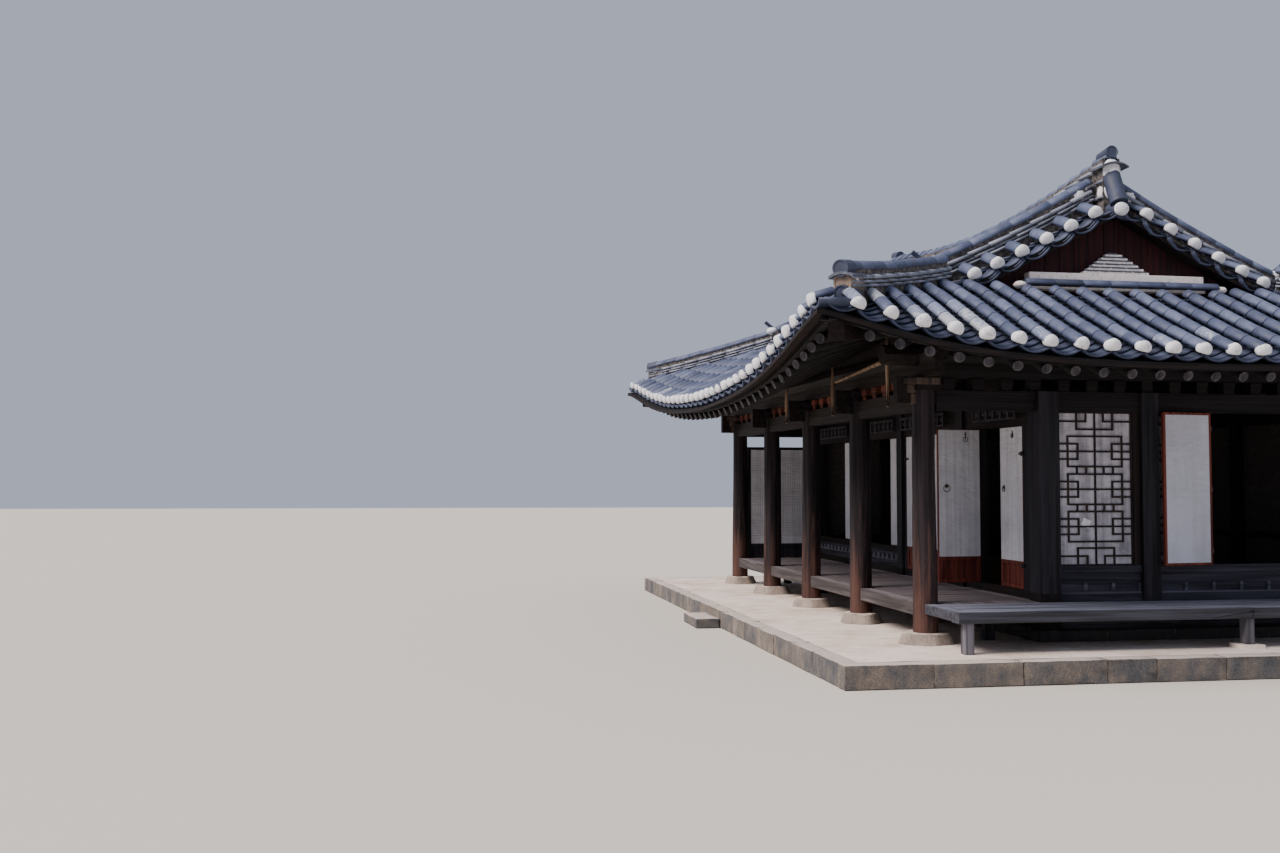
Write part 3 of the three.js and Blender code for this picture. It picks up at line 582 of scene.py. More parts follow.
@dataclass(frozen=True)
class AgedPine:
    """Sawn and planed pine, darkened by age: matt, with grain and rubbed feet, and tops made paler
    by dust and by painted light.
    """

    name: str
    dark: str
    pale: str
    worn: str
    grain: Axis
    wear: float = 0.4
    foot: str = ""
    foot_top: float = 1.1
    # Colour of faces that look up: dust, and painted light on the top faces
    top: str = ""
    gloss: float = 0.2

    def across(self, fine: float, along: float) -> tuple[float, float, float]:
        """Repeats a metre across the grain, and along it on the grain's own axis.

        Args:
            fine: Repeats across it.
            along: Repeats along it.

        Returns:
            Repeats on the three axes.
        """
        scale = [fine, fine, fine]
        scale[self.grain.value] = along
        return (scale[0], scale[1], scale[2])

    def make(self) -> Material:
        """Build the material.

        Returns:
            The material.
        """
        material, tree, shader, at = blank(self.name)
        # Grain lines about 8 mm apart and 700 mm long
        fine = add_node(tree, "Mapping", {"Vector": at, "Scale": self.across(120.0, 1.4)})
        inputs = {"Vector": fine, "Scale": 1.0, "Detail": 5.0, "Roughness": 0.65}
        fibres = add_node(tree, "TexNoise", inputs)
        # Broad bands about 50 mm wide, from the way that the log was cut
        wide = add_node(tree, "Mapping", {"Vector": at, "Scale": self.across(19.0, 0.7)})
        bands = add_node(tree, "TexNoise", {"Vector": wide, "Scale": 1.0, "Detail": 3.0})
        strong = add_node(tree, "Math", {0: bands, 1: 1.5}, operation="MULTIPLY")
        both = add_node(tree, "Math", {0: fibres, 1: 0.7, 2: strong}, operation="MULTIPLY_ADD")
        shade = add_node(tree, "MapRange", {"Value": both, "From Min": 0.9, "From Max": 1.32})
        wood = add_node(tree, "ValToRGB", {"Fac": shade}, [(0.0, self.dark), (1.0, self.pale)])
        # Wear follows the fibres, in streaks of about 110 by 1200 mm
        long = add_node(tree, "Mapping", {"Vector": at, "Scale": self.across(9.0, 0.8)})
        inputs = {"Vector": long, "Scale": 1.0, "Detail": 6.0, "Roughness": 0.7}
        streak = add_node(tree, "TexNoise", inputs)
        inputs = {0: fibres, 1: 0.6, 2: streak}
        rubbed = add_node(tree, "Math", inputs, operation="MULTIPLY_ADD")
        low, high = 1.0 - 0.3 * self.wear, 1.18 - 0.3 * self.wear
        inputs = {"Value": rubbed, "From Min": low, "From Max": high, "To Max": 0.8}
        amount = add_node(tree, "MapRange", inputs)
        inputs = {0: amount, 6: wood, 7: linear(self.worn)}
        colour = add_node(tree, "Mix", inputs, data_type="RGBA")
        if self.foot:
            # Rubbed and rain-washed wood towards the foot
            height = add_node(tree, "SeparateXYZ", {"Vector": at}).outputs["Z"]
            inputs = {0: rubbed, 1: -5.0, 2: height}
            uneven = add_node(tree, "Math", inputs, operation="MULTIPLY_ADD")
            low, high = self.foot_top - 3.5, self.foot_top - 4.7
            inputs = {"Value": uneven, "From Min": low, "From Max": high, "To Max": 0.85}
            washed = add_node(tree, "MapRange", inputs)
            inputs = {0: washed, 6: colour, 7: linear(self.foot)}
            colour = add_node(tree, "Mix", inputs, data_type="RGBA")
        if self.top:
            # Faces that look up are paler: partly dust and sun bleach, partly painted light on the
            # top faces
            facing = at.node.outputs["Normal"]
            up = add_node(tree, "SeparateXYZ", {"Vector": facing}).outputs["Z"]
            lit = add_node(tree, "Math", {0: rubbed, 1: 1.1, 2: up}, operation="MULTIPLY_ADD")
            inputs = {"Value": lit, "From Min": 1.6, "From Max": 2.05, "To Max": 0.9}
            dust_and_painted_light = add_node(tree, "MapRange", inputs)
            inputs = {0: dust_and_painted_light, 6: colour, 7: linear(self.top)}
            colour = add_node(tree, "Mix", inputs, data_type="RGBA")
        bump = add_node(tree, "Bump", {"Height": both, "Distance": 0.008, "Strength": 0.9})
        rough = add_node(tree, "MapRange", {"Value": fibres, "To Min": 0.5, "To Max": 0.85})
        dressed = {"Base Color": colour, "Normal": bump, "Roughness": rough, "IOR": 1.5}
        feed(tree, shader, dressed)
        # Open pores and soot swallow most of the gloss
        shader.inputs["Specular IOR Level"].default_value = self.gloss
        return material


@dataclass(frozen=True)
class DoorPaper:
    """Mulberry paper pasted on wood: white, fibrous, a little uneven in tone."""

    name: str = "mulberry_paper_pasted"
    light: str = "d6d7de"
    dull: str = "b2b2b9"
    ribs: float = 34.0
    spread: float = 0.6

    def make(self) -> Material:
        """Build the material.

        Returns:
            The material.
        """
        material, tree, shader, at = blank(self.name)
        # Faint upright streaks about 30 mm apart, from the strips behind
        tall = add_node(tree, "Mapping", {"Vector": at, "Scale": (self.ribs, self.ribs, 0.6)})
        streaks = add_node(tree, "TexNoise", {"Vector": tall, "Scale": 1.0, "Detail": 3.0})
        # Stains about 300 mm across
        inputs = {"Vector": at, "Scale": 3.4, "Detail": 7.0, "Roughness": 0.72}
        stains = add_node(tree, "TexNoise", inputs)
        both = add_node(tree, "Math", {0: streaks, 1: stains}, operation="ADD")
        low, high = 1.05 - self.spread / 2, 1.05 + self.spread / 2
        shade = add_node(tree, "MapRange", {"Value": both, "From Min": low, "From Max": high})
        stops = [(0.0, self.light), (1.0, self.dull)]
        colour = add_node(tree, "ValToRGB", {"Fac": shade}, stops)
        # Fibres are about 1 mm, drawn as about 4 mm so that they show, over slack buckles
        # 150 to 330 mm apart
        fibres = add_node(tree, "TexNoise", {"Vector": at, "Scale": 240.0, "Detail": 3.0})
        slack = add_node(tree, "Mapping", {"Vector": at, "Scale": (3.0, 3.0, 7.0)})
        inputs = {"Vector": slack, "Scale": 1.0, "Detail": 3.0, "Distortion": 1.5}
        buckles = add_node(tree, "TexNoise", inputs)
        inputs = {0: fibres, 1: 0.03, 2: buckles}
        both = add_node(tree, "Math", inputs, operation="MULTIPLY_ADD")
        bump = add_node(tree, "Bump", {"Height": both, "Distance": 0.03, "Strength": 0.6})
        dressed = {"Base Color": colour, "Normal": bump, "Roughness": 0.95, "IOR": 1.45}
        feed(tree, shader, dressed)
        return material


@dataclass(frozen=True)
class SplitGranite:
    """Granite split and rough dressed: blue-grey and brown-grey grains and a coarse face."""

    name: str = "granite_rough_dressed"
    dark: str = "2c2d32"
    cool: str = "56575b"
    warm: str = "71675e"
    pale: str = "a2968a"
    top: str = "dccfc6"

    def make(self) -> Material:
        """Build the material.

        Returns:
            The material.
        """
        material, tree, shader, at = blank(self.name)
        tone = add_node(tree, "Attribute", attribute_name="tone").outputs["Fac"]
        # Crystals are about 4 mm, drawn as about 13 mm so that they show
        inputs = {"Vector": at, "Scale": 75.0, "Detail": 5.0, "Roughness": 0.8}
        grains = add_node(tree, "TexNoise", inputs)
        # Rain stains run down, about 200 mm wide
        down = add_node(tree, "Mapping", {"Vector": at, "Scale": (5.0, 5.0, 3.0)})
        inputs = {"Vector": down, "Scale": 1.0, "Detail": 7.0, "Roughness": 0.7}
        stains = add_node(tree, "TexNoise", inputs)
        both = add_node(tree, "Math", {0: grains, 1: 1.1, 2: stains}, operation="MULTIPLY_ADD")
        shade = add_node(tree, "Math", {0: tone, 1: 0.16, 2: both}, operation="MULTIPLY_ADD")
        inputs = {"Value": shade, "From Min": 0.77, "From Max": 1.49}
        spread = add_node(tree, "MapRange", inputs)
        stops = [(0.0, self.dark), (0.35, self.cool), (0.55, self.warm), (1.0, self.pale)]
        stone = add_node(tree, "ValToRGB", {"Fac": spread}, stops)
        # Tops are scoured pale by feet and sand
        facing = at.node.outputs["Normal"]
        up = add_node(tree, "SeparateXYZ", {"Vector": facing}).outputs["Z"]
        lit = add_node(tree, "Math", {0: grains, 1: 0.6, 2: up}, operation="MULTIPLY_ADD")
        inputs = {"Value": lit, "From Min": 0.9, "From Max": 1.3, "To Max": 0.85}
        scoured = add_node(tree, "MapRange", inputs)
        inputs = {0: scoured, 6: stone, 7: linear(self.top)}
        colour = add_node(tree, "Mix", inputs, data_type="RGBA")
        # Pits about 26 mm across, as the splitting leaves them
        inputs = {"Vector": at, "Scale": 38.0, "Detail": 8.0, "Roughness": 0.75}
        pits = add_node(tree, "TexNoise", inputs)
        bump = add_node(tree, "Bump", {"Height": pits, "Distance": 0.022, "Strength": 0.9})
        dressed = {"Base Color": colour, "Normal": bump, "Roughness": 0.9, "IOR": 1.55}
        feed(tree, shader, dressed)
        return material


@dataclass(frozen=True)
class RammedLime:
    """Lime, clay and sand rammed flat: pale, dusty and matt."""

    name: str = "lime_and_sand_rammed"
    light: str = "faf3ee"
    trodden: str = "e0cfc3"
    dark: str = "b59d8b"

    def make(self) -> Material:
        """Build the material.

        Returns:
            The material.
        """
        material, tree, shader, at = blank(self.name)
        # Damp and trodden patches about 600 mm across, broken up by sand
        inputs = {"Vector": at, "Scale": 1.6, "Detail": 10.0, "Roughness": 0.75}
        patch = add_node(tree, "TexNoise", inputs)
        # Sand of 1 to 3 mm, drawn as about 15 mm so that it shows
        inputs = {"Vector": at, "Scale": 70.0, "Detail": 6.0, "Roughness": 0.8}
        sand = add_node(tree, "TexNoise", inputs)
        both = add_node(tree, "Math", {0: sand, 1: 0.5, 2: patch}, operation="MULTIPLY_ADD")
        stops = [(0.5, self.light), (0.78, self.trodden), (1.0, self.dark)]
        colour = add_node(tree, "ValToRGB", {"Fac": both}, stops)
        bump = add_node(tree, "Bump", {"Height": sand, "Distance": 0.004, "Strength": 0.6})
        feed(tree, shader, {"Base Color": colour, "Normal": bump, "Roughness": 0.96})
        return material


@dataclass(frozen=True)
class ForgedIron:
    """Forged iron, black and a little rusty, smooth where hands touch it."""

    name: str = "iron_forged_black"

    def make(self) -> Material:
        """Build the material.

        Returns:
            The material.
        """
        material, tree, shader, at = blank(self.name)
        # Rust in spots of about 15 mm
        rust = add_node(tree, "TexNoise", {"Vector": at, "Scale": 60.0, "Detail": 5.0})
        stops = [(0.45, "4b4846"), (0.7, "5a3c2e")]
        colour = add_node(tree, "ValToRGB", {"Fac": rust}, stops)
        feed(tree, shader, {"Base Color": colour, "Metallic": 0.8, "Roughness": 0.55})
        return material


class Palette:
    """Every finish of the house, made once."""

    def __init__(self) -> None:
        """Make the finishes."""
        self.tile = SmokedTile().make()
        self.layer_tile = SmokedTile(
            "smoked_flat_tile_weathered", "434754", "757b8b", "a3a8b6", "c8c8ca", 0.6, 0.05
        ).make()
        self.lime = LimePlaster().make()
        # Dark grey: dirty mortar, and painted shade in the joints between the tile courses
        self.ridge_mortar = LimePlaster("lime_mortar_blackened_and_shaded", "7b7471", "322f2f", 0.36).make()
        self.stack_lime = LimePlaster("lime_mortar_troweled", "f3ece8", "b9aea8", 0.52).make()
        self.plug_lime = LimePlaster("lime_and_clay_plug", "8f7c70", "5f534c", 0.42).make()
        self.wall_lime = LimePlaster("lime_plaster_floated", "cfcac6", "a09993", 0.5).make()
        # Dark grey plaster on the inner faces paints the shade inside the rooms
        self.inner_lime = LimePlaster("lime_plaster_painted_shade", "4b4644", "302c2b", 0.45).make()
        self.column = AgedPine(
            "pine_column_hewn", "0a090b", "2e262a", "3f3337", Axis.Z, 0.45,
            foot="5a3e36", foot_top=0.9,
        ).make()
        self.post = AgedPine(
            "pine_post_planed", "101015", "29272e", "36353f", Axis.Z, 0.3,
            foot="38343a", foot_top=0.5,
        ).make()
        # Near-black beams: old wood, darkened further to paint the deep shade under the eaves
        self.beam_x = AgedPine(
            "pine_beam_planed_across", "09080a", "1b181b", "242126", Axis.X, 0.2
        ).make()
        self.beam_y = AgedPine(
            "pine_beam_planed_along", "0d0909", "211917", "2b2424", Axis.Y, 0.25
        ).make()
        # Near-black boards: dark old wood, and painted shade in the tile bed, the low panels'
        # recesses and the bench crack
        self.boards_dark = AgedPine(
            "pine_boards_dark_and_painted_shade", "070608", "110f12", "181619", Axis.X, 0.2
        ).make()
        self.carved = AgedPine(
            "pine_carved_bleached", "2a2322", "54473f", "6d6158", Axis.Z, 0.4
        ).make()
        self.pale_pole = AgedPine(
            "pine_pole_peeled", "5c4a3b", "927a64", "a08a76", Axis.Z, 0.3
        ).make()
        self.ring = AgedPine(
            "pine_end_grain_limed", "2c2a2c", "545155", "66636a", Axis.Z, 0.4
        ).make()
        # The top colours of the floors and the bench are partly dust, partly painted light on their
        # top faces
        self.floor_x = AgedPine(
            "pine_floor_worn_across", "262224", "4d4648", "645c60", Axis.X, 0.4,
            top="746b70", gloss=0.5,
        ).make()
        self.floor_y = AgedPine(
            "pine_floor_worn_along", "1f1c1c", "474041", "6d6465", Axis.Y, 0.45,
            top="8a8186", gloss=0.5,
        ).make()
        self.bench = AgedPine(
            "pine_bench_weathered", "1c1d25", "40424e", "555765", Axis.X, 0.35,
            top="878b9e", gloss=0.5,
        ).make()
        self.leg = AgedPine(
            "pine_bench_leg_bleached", "3e3d43", "6c6b73", "81808a", Axis.Z, 0.4
        ).make()
        self.red_upright = AgedPine(
            "pine_red_brown_oiled", "471f1b", "783b2f", "8c5042", Axis.Z, 0.2
        ).make()
        # Darker than the boards' own red, to paint the shade under the verge
        self.red_boards = AgedPine(
            "pine_gable_boards_red_painted_shade", "1b0a0e", "361216", "2a1316", Axis.Z, 0.3
        ).make()
        self.lattice = AgedPine(
            "pine_lattice_bars", "1b1517", "332827", "372f2e", Axis.Z, 0.3
        ).make()
        self.block_red = AgedPine(
            "pine_block_reddish", "3a1a14", "6e3a2c", "5a3a32", Axis.Y, 0.3
        ).make()
        # Near-black blocks: greyed wood, darkened further to paint the shade under the eaves at the
        # ends and the back
        self.block_grey = AgedPine(
            "pine_block_greyed_and_shaded", "080708", "151213", "1b181a", Axis.X, 0.3
        ).make()
        self.muntin = AgedPine(
            "pine_small_uprights", "24232a", "403e47", "53515b", Axis.Z, 0.35
        ).make()
        # The top colours of the sills and the ledge are partly dust, partly painted light on their
        # top edges
        self.sill = AgedPine(
            "pine_sill_greyed", "1d1d25", "3e3d48", "54535f", Axis.X, 0.35, top="7a7b88"
        ).make()
        self.ledge = AgedPine(
            "pine_ledge_rubbed", "3d3c46", "5f5e6a", "7b7a87", Axis.X, 0.4, top="9a9aa8"
        ).make()
        self.sill_y = AgedPine(
            "pine_sill_greyed_along", "1e1d22", "3c3a41", "504e57", Axis.Y, 0.35, top="7a7b88"
        ).make()
        # Near-black roof boards: smoked wood, darkened further to paint the deep shade under the
        # eaves
        self.soffit = AgedPine(
            "pine_roof_boards_smoked_and_shaded", "0e090a", "211615", "241c1b", Axis.X, 0.3
        ).make()
        self.paper = DoorPaper().make()
        self.leaf_paper = DoorPaper("mulberry_paper_pasted_new", "c4c8d6", "b1b2bc", 7.0).make()
        self.window_paper = DoorPaper(
            "mulberry_paper_yellowed_thin", "bab8c1", "716f76", 12.0, 0.42
        ).make()
        self.fresh_paper = DoorPaper("mulberry_paper_fresh_patch", "ebebee", "d5d5da").make()
        self.paper_bar_shadow = DoorPaper("mulberry_paper_shaded_by_bars", "b2b0b2", "9a989a").make()
        self.floor_paper = DoorPaper("oiled_floor_paper", "8a754a", "6d5a37", 6.0).make()
        self.granite = SplitGranite().make()
        # Dark all over, its top too, to paint the shade that the low course of stones lies in
        self.plinth_stone = SplitGranite(
            "granite_plinth_painted_shade", "242224", "383638", "443e3b", "5a5450", "3f3b39"
        ).make()
        self.column_stone = SplitGranite(
            "fieldstone_limed", "6d6057", "968b84", "aa9b8f", "c4b7ab", "d6c9be"
        ).make()
        self.ground_lime = RammedLime().make()
        self.iron = ForgedIron().make()


# The roof's form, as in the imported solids


class Side(Enum):
    """The four slopes."""

    FRONT = "front"
    BACK = "back"
    NEAR = "bench_end"
    FAR = "far_end"


@dataclass(frozen=True)
class RoofForm:
    """Heights of the roof over the platform, by distance in from the eave and along it."""

    half_length: float = 5.77
    half_depth: float = 4.43
    ridge_run: float = 4.305
    hip_run: float = 2.1
    gable_run: float = 2.3
    corner_rise: float = 3.58
    inset: float = 0.12

    def hip(self, d: float) -> float:
        """Height of the hip."""
        return self.corner_rise + 0.16 * d + 0.033 * d * d

    def bend(self, u: float, reach: float, power: float) -> float:
        """How much of the corner's lift is left at a distance from the hip."""
        return math.exp(-((max(u, 0.0) / reach) ** power))

    def long_height(self, d: float, s: float) -> float:
        """Height of a long slope.

        Args:
            d: Distance in from the eave line.
            s: Distance along it.

        Returns:
            The height.
        """
        along = min(s, 2 * self.half_length - s)
        part = min(d, self.hip_run)
        fade = 1 - max(d - self.hip_run, 0.0) / (self.ridge_run - self.hip_run)
        base = 2.915 + 0.38 * part + 0.033 * part * part
        lift = (self.hip(part) - base) * fade
        return 2.915 + 0.38 * d + 0.033 * d * d + lift * self.bend(along - part, 2.2, 1.4)

    def end_height(self, d: float, s: float) -> float:
        """Height of an end slope.

        Args:
            d: Distance in from the eave line.
            s: Distance along it.

        Returns:
            The height.
        """
        along = min(s, 2 * self.half_depth - s)
        part = min(d, self.hip_run)
        base = 3.065 + 0.4 * part + 0.033 * part * part
        lift = self.hip(part) - base
        return 3.065 + 0.4 * d + 0.033 * d * d + lift * self.bend(along - part, 1.3, 1.3)

    def thick(self, d: float) -> float:
        """Thickness of the tiles and their bed, from the top surface down to the boards."""
        return 0.15 + 0.08 * min(1.0, d / 1.5)


@dataclass(frozen=True)
class Slope:
    """One slope of the roof. d runs in from the eave line and s along it."""

    form: RoofForm
    side: Side

    @property
    def is_long(self) -> bool:
        """Whether this is a front or back slope."""
        return self.side in (Side.FRONT, Side.BACK)

    @property
    def length(self) -> float:
        """Length of the eave line."""
        return 2 * (self.form.half_length if self.is_long else self.form.half_depth)

    def bow(self, s: float) -> float:
        """How far the eave curves in."""
        return self.form.inset * (1 - abs(2 * s / self.length - 1) ** 2.5)

    def point(self, d: float, s: float, rise: float = 0.0) -> Vector:
        """A point of the slope.

        Args:
            d: Distance in from the eave line.
            s: Distance along it.
            rise: Height over the slope's surface.

        Returns:
            The point.
        """
        form = self.form
        if self.is_long:
            height = form.long_height(d, s) + GROUND_TO_TOP + rise
            x = d - form.half_depth
            return Vector((x if self.side is Side.FRONT else -x, form.half_length - s, height))
        height = form.end_height(d, s) + GROUND_TO_TOP + rise
        y = d - form.half_length
        return Vector((s - form.half_depth, y if self.side is Side.NEAR else -y, height))

    def station(self, d: float, s: float, rise: float = 0.0, up: float = 0.02) -> Matrix:
        """A frame on the slope, with X up the slope, Y across it and Z out of it.

        Args:
            d: Distance in from the eave line.
            s: Distance along it.
            rise: Distance out of the slope's surface.
            up: Half the length that the frame's tilt is measured over.

        Returns:
            The frame.
        """
        along = (self.point(d + up, s) - self.point(d - up, s)).normalized()
        across = self.point(d, min(s + 0.02, self.length)) - self.point(d, max(s - 0.02, 0.0))
        out = along.cross(across).normalized()
        if out.z < 0:
            out = -out
        return frame_at(self.point(d, s) + out * rise, along, out.cross(along), out)

    def row_end(self, s: float) -> float:
        """Where a row of tiles ends, under the ridge that crosses it.

        Args:
            s: Distance along the eave line.

        Returns:
            Distance in from it.
        """
        form = self.form
        along = min(s, self.length - s)
        if along < form.hip_run:
            return along - 0.03
        if not self.is_long:
            return form.hip_run - 0.13 if abs(s - form.half_depth) < 1.35 else form.hip_run - 0.02
        return form.hip_run + 0.12 if along < form.hip_run + 0.3 else form.ridge_run - 0.03


# Tiles


@dataclass
class TileKit:
    """The tiles that the roofer lays everywhere, each modelled once."""

    radius: float = 0.078
    length: float = 0.3
    pitch: float = 0.34
    skirt: float = 0.05
    pan_drop: float = 0.075
    cover: Object = field(init=False)
    lump: Object = field(init=False)
    pan: Object = field(init=False)
    flat: Object = field(init=False)

    def __post_init__(self) -> None:
        """Model the tiles."""
        self.cover = self.make_cover()
        self.lump = self.make_lump()
        self.pan = self.make_pan()
        self.flat = self.make_flat()

    def make_cover(self) -> Object:
        """Model one cover tile: a half round lying along X, with eased ends.

        Returns:
            The model.
        """
        middle = (self.length / 2, 0, 0)
        obj = cylinder("cover_model", 14, self.radius, self.length, middle, ALONG_X)
        with editing():
            bpy.ops.mesh.bisect(
                plane_co=(0, 0, 0), plane_no=(0, 0, 1), use_fill=True, clear_inner=True
            )
            choose(obj, "faces", lambda face: face.normal.z < -0.9)
            bpy.ops.mesh.extrude_region_move(
                TRANSFORM_OT_translate={"value": (0, 0, -self.skirt)}
            )
            choose(obj, "edges", self.is_end_edge)
            bpy.ops.mesh.bevel(offset=0.006, segments=1, affect="EDGES")
        smooth(obj, 40)
        return obj

    def is_end_edge(self, edge: bmesh.types.BMEdge) -> bool:
        """Whether an edge is part of a cover tile's rounded end."""
        at_end = len({round(v.co.x, 4) for v in edge.verts}) == 1
        return at_end and any(v.co.z > 0.002 for v in edge.verts)

    def make_lump(self) -> Object:
        """Model the lump of lime that closes a row at the eave and laps over its tile.

        Returns:
            The model.
        """
        deselect()
        bpy.ops.mesh.primitive_uv_sphere_add(
            segments=16, ring_count=8, radius=self.radius + 0.004, rotation=ALONG_X
        )
        obj = settle(bpy.context.object, "lump_model")
        for vertex in obj.data.vertices:
            x, y, z = vertex.co
            if x <= 0:
                vertex.co.x = 0.5 * x
                continue
            ragged = 0.036 + 0.014 * math.sin(3 * math.atan2(z, y) + 1.0)
            out = math.hypot(y, z)
            grow = (self.radius + 0.003) / out if out > 0.01 else 1.0
            vertex.co = (x / (self.radius + 0.004) * ragged, y * grow, z * grow)
        with editing():
            bpy.ops.mesh.bisect(
                plane_co=(0, 0, -0.04), plane_no=(0, 0, 1), use_fill=True, clear_inner=True
            )
        smooth(obj, 50)
        return obj

    def trough(
        self, name: str, long: float, wide: float, sag: float, lip: float, cells: int
    ) -> Object:
        """Model a curved flat tile lying along X.

        Args:
            name: The model's name.
            long: Its length.
            wide: Its width.
            sag: How far its middle hangs below its edges, or stands above them where negative.
            lip: Thickness at its lower end.
            cells: Steps across.

        Returns:
            The model.
        """
        obj = closed_grid(1, cells)
        for vertex in obj.data.vertices:
            x = vertex.co.x + 0.5
            y = vertex.co.y * 2
            thick = lip if x < 0.5 else 0.65 * lip
            top = thick if vertex.co.z > 0.5 else 0.0
            vertex.co = (x * long, y * wide / 2, -sag * (1 - y * y) + top)
        obj.data.update()
        obj.name = name
        smooth(obj, 40)
        return obj

    def make_pan(self) -> Object:
        """Model one pan tile, tilted so that each lies on the one below it.

        Returns:
            The model.
        """
        obj = self.trough("pan_model", 0.26, self.pitch - 0.024, 0.062, 0.024, 6)
        for vertex in obj.data.vertices:
            vertex.co.z += 0.01 - self.pan_drop - 0.192 * vertex.co.x
        obj.data.update()
        return obj

    def make_flat(self) -> Object:
        """Model one flat ridge tile, a little arched across."""
        return self.trough("flat_model", 1.0, 1.0, -0.012, 0.03, 2)

    def dollop(
        self, name: str, middle: Vector, size: tuple[float, float, float], seed: int
    ) -> Object:
        """Model a hand-pressed lump of lime.

        Args:
            name: The lump's name.
            middle: Its middle.
            size: Its half sizes.
            seed: The seed of its unevenness.

        Returns:
            The lump.
        """
        deselect()
        bpy.ops.mesh.primitive_ico_sphere_add(subdivisions=3, radius=1)
        obj = bpy.context.object
        with editing():
            bpy.ops.transform.vertex_random(offset=0.09, seed=seed)
            bpy.ops.mesh.vertices_smooth(factor=0.5, repeat=1)
        obj.scale = size
        obj.location = middle
        settle(obj, name)
        smooth(obj, 60)
        return obj

    def clear(self) -> None:
        """Delete the models."""
        drop(self.cover, self.lump, self.pan, self.flat)


@dataclass
class TileField:
    """The tiles of one slope: rows of pan tiles and cover tiles, and lime at their ends."""

    slope: Slope
    palette: Palette
    kit: TileKit
    pitch: float = 0.34
    shift: float = 0.0
    cover_length: float = 0.3
    pan_step: float = 0.125
    pan_length: float = 0.26
    bed_cells: int = 44
    seed: int = 7

    def rows(self, offset: float) -> list[float]:
        """Distances along the eave at which rows lie.

        Args:
            offset: Distance from a cover row to the row.

        Returns:
            The distances.
        """
        middle = self.slope.length / 2 + self.shift + offset
        reach = self.slope.length - 0.06
        first = math.ceil((0.06 - middle) / self.pitch)
        last = math.floor((reach - middle) / self.pitch)
        return [middle + self.pitch * i for i in range(first, last + 1)]

    def is_limed(self, s: float, run: float, chance: float) -> bool:
        """Whether a cover tile was dabbed with lime.

        Most are at the veranda corner of the bench end, and few elsewhere.

        Args:
            s: Distance along the eave.
            run: Distance up the row.
            chance: A random number from 0 to 1.

        Returns:
            Whether it was.
        """
        if self.slope.side is Side.NEAR and 0.6 < s < 2.0:
            return chance < (0.9 if run < 0.25 else 0.6 if run < 0.5 else 0.1)
        return chance < (0.12 if run < 0.25 else 0.02)

    def build(self) -> None:
        """Lay the bed, the pan tiles, the cover tiles and the lime."""
        rng = random.Random(self.seed)
        slope = self.slope
        name = slope.side.value
        overlap = 0.06
        covers, cover_tones, limes, pans, pan_tones = [], [], [], [], []
        for s in self.rows(0.0):
            start = slope.bow(s) + 0.02
            end = slope.row_end(s)
            if end - start < 0.05:
                continue
            size = Matrix.Diagonal((1, rng.uniform(0.92, 1.06), rng.uniform(0.88, 1.05), 1))
            turn = Matrix.Rotation(rng.uniform(-0.2, 0.2), 4, "X")
            limes.append(slope.station(start + 0.01, s) @ turn @ size)
            d = start + 0.018
            while d < end - 0.04:
                length = min(self.cover_length, end - d)
                middle = slope.station(d + length * 0.45, s)
                turn = Matrix.Rotation(rng.uniform(-0.012, 0.012), 4, "Z")
                stretch = Matrix.Diagonal((length / self.cover_length, 1, 1, 1))
                back = Matrix.Translation((-length * 0.5, 0, rng.uniform(-0.004, 0.004)))
                covers.append(middle @ turn @ back @ stretch)
                tone = rng.uniform(0.25, 0.75)
                limed = self.is_limed(s, d - start, rng.random())
                cover_tones.append(tone + (1.0 if limed else 0.0))
                d += length * (1 - overlap)
        for s in self.rows(self.pitch / 2):
            start = slope.bow(s)
            end = slope.row_end(s)
            if end - start < 0.1:
                continue
            d = start
            while d < end - 0.03:
                middle = slope.station(d + self.pan_length * 0.5, s)
                slip = rng.uniform(-0.006, 0.006)
                pans.append(middle @ Matrix.Translation((slip - self.pan_length * 0.5, 0, 0)))
                pan_tones.append(rng.uniform(0.0, 0.3))
                d += self.pan_step if d > start else 0.05
        top = lay(f"{name}_cover_tiles", self.kit.cover, covers, cover_tones)
        trough = lay(f"{name}_pan_tiles", self.kit.pan, pans, pan_tones)
        ends = lay(f"{name}_lime_ends", self.kit.lump, limes)
        finish_piece(top, self.palette.tile, "clay_tile", (f"{name}_roof_tiles",))
        finish_piece(trough, self.palette.tile, "clay_tile")
        finish_piece(ends, self.palette.lime, "clay_tile")
        # The bed is near-black, painting the shade in the gaps between the tiles
        finish_piece(self.bed(f"{name}_tile_bed"), self.palette.boards_dark, "clay_tile")

    def bed(self, name: str) -> Object:
        """Make the closed bed that the tiles lie on, from the boards up to under the pan tiles.

        Args:
            name: The bed's name.

        Returns:
            The bed.
        """
        slope = self.slope
        form = slope.form
        runs = [form.hip_run * i / 6 for i in range(7)]
        if slope.is_long:
            runs += [form.hip_run + (form.ridge_run - form.hip_run) * i / 5 for i in range(1, 6)]
        full = form.ridge_run if slope.is_long else form.hip_run
        obj = closed_grid(self.bed_cells, len(runs) - 1)
        for vertex in obj.data.vertices:
            row = round((vertex.co.y + 0.5) * (len(runs) - 1))
            v = vertex.co.x + 0.5
            run = runs[row]
            start = min(run, form.hip_run) + 0.004
            s = start + v * (slope.length - 2 * start)
            bow = form.inset * (1 - abs(2 * v - 1) ** 2.5)
            d = run + bow * (1 - run / full) ** 4 + (0.012 if row == 0 else 0.0)
            thick = form.thick(d)
            rise = -min(0.185, thick - 0.01) if vertex.co.z > 0.5 else 0.002 - thick
            vertex.co = slope.point(d, s, rise)
        obj.data.update()
        with editing():
            bpy.ops.mesh.normals_make_consistent(inside=False)
        smooth(obj, 30)
        return rename(obj, name)


# Ridges, verges and gables


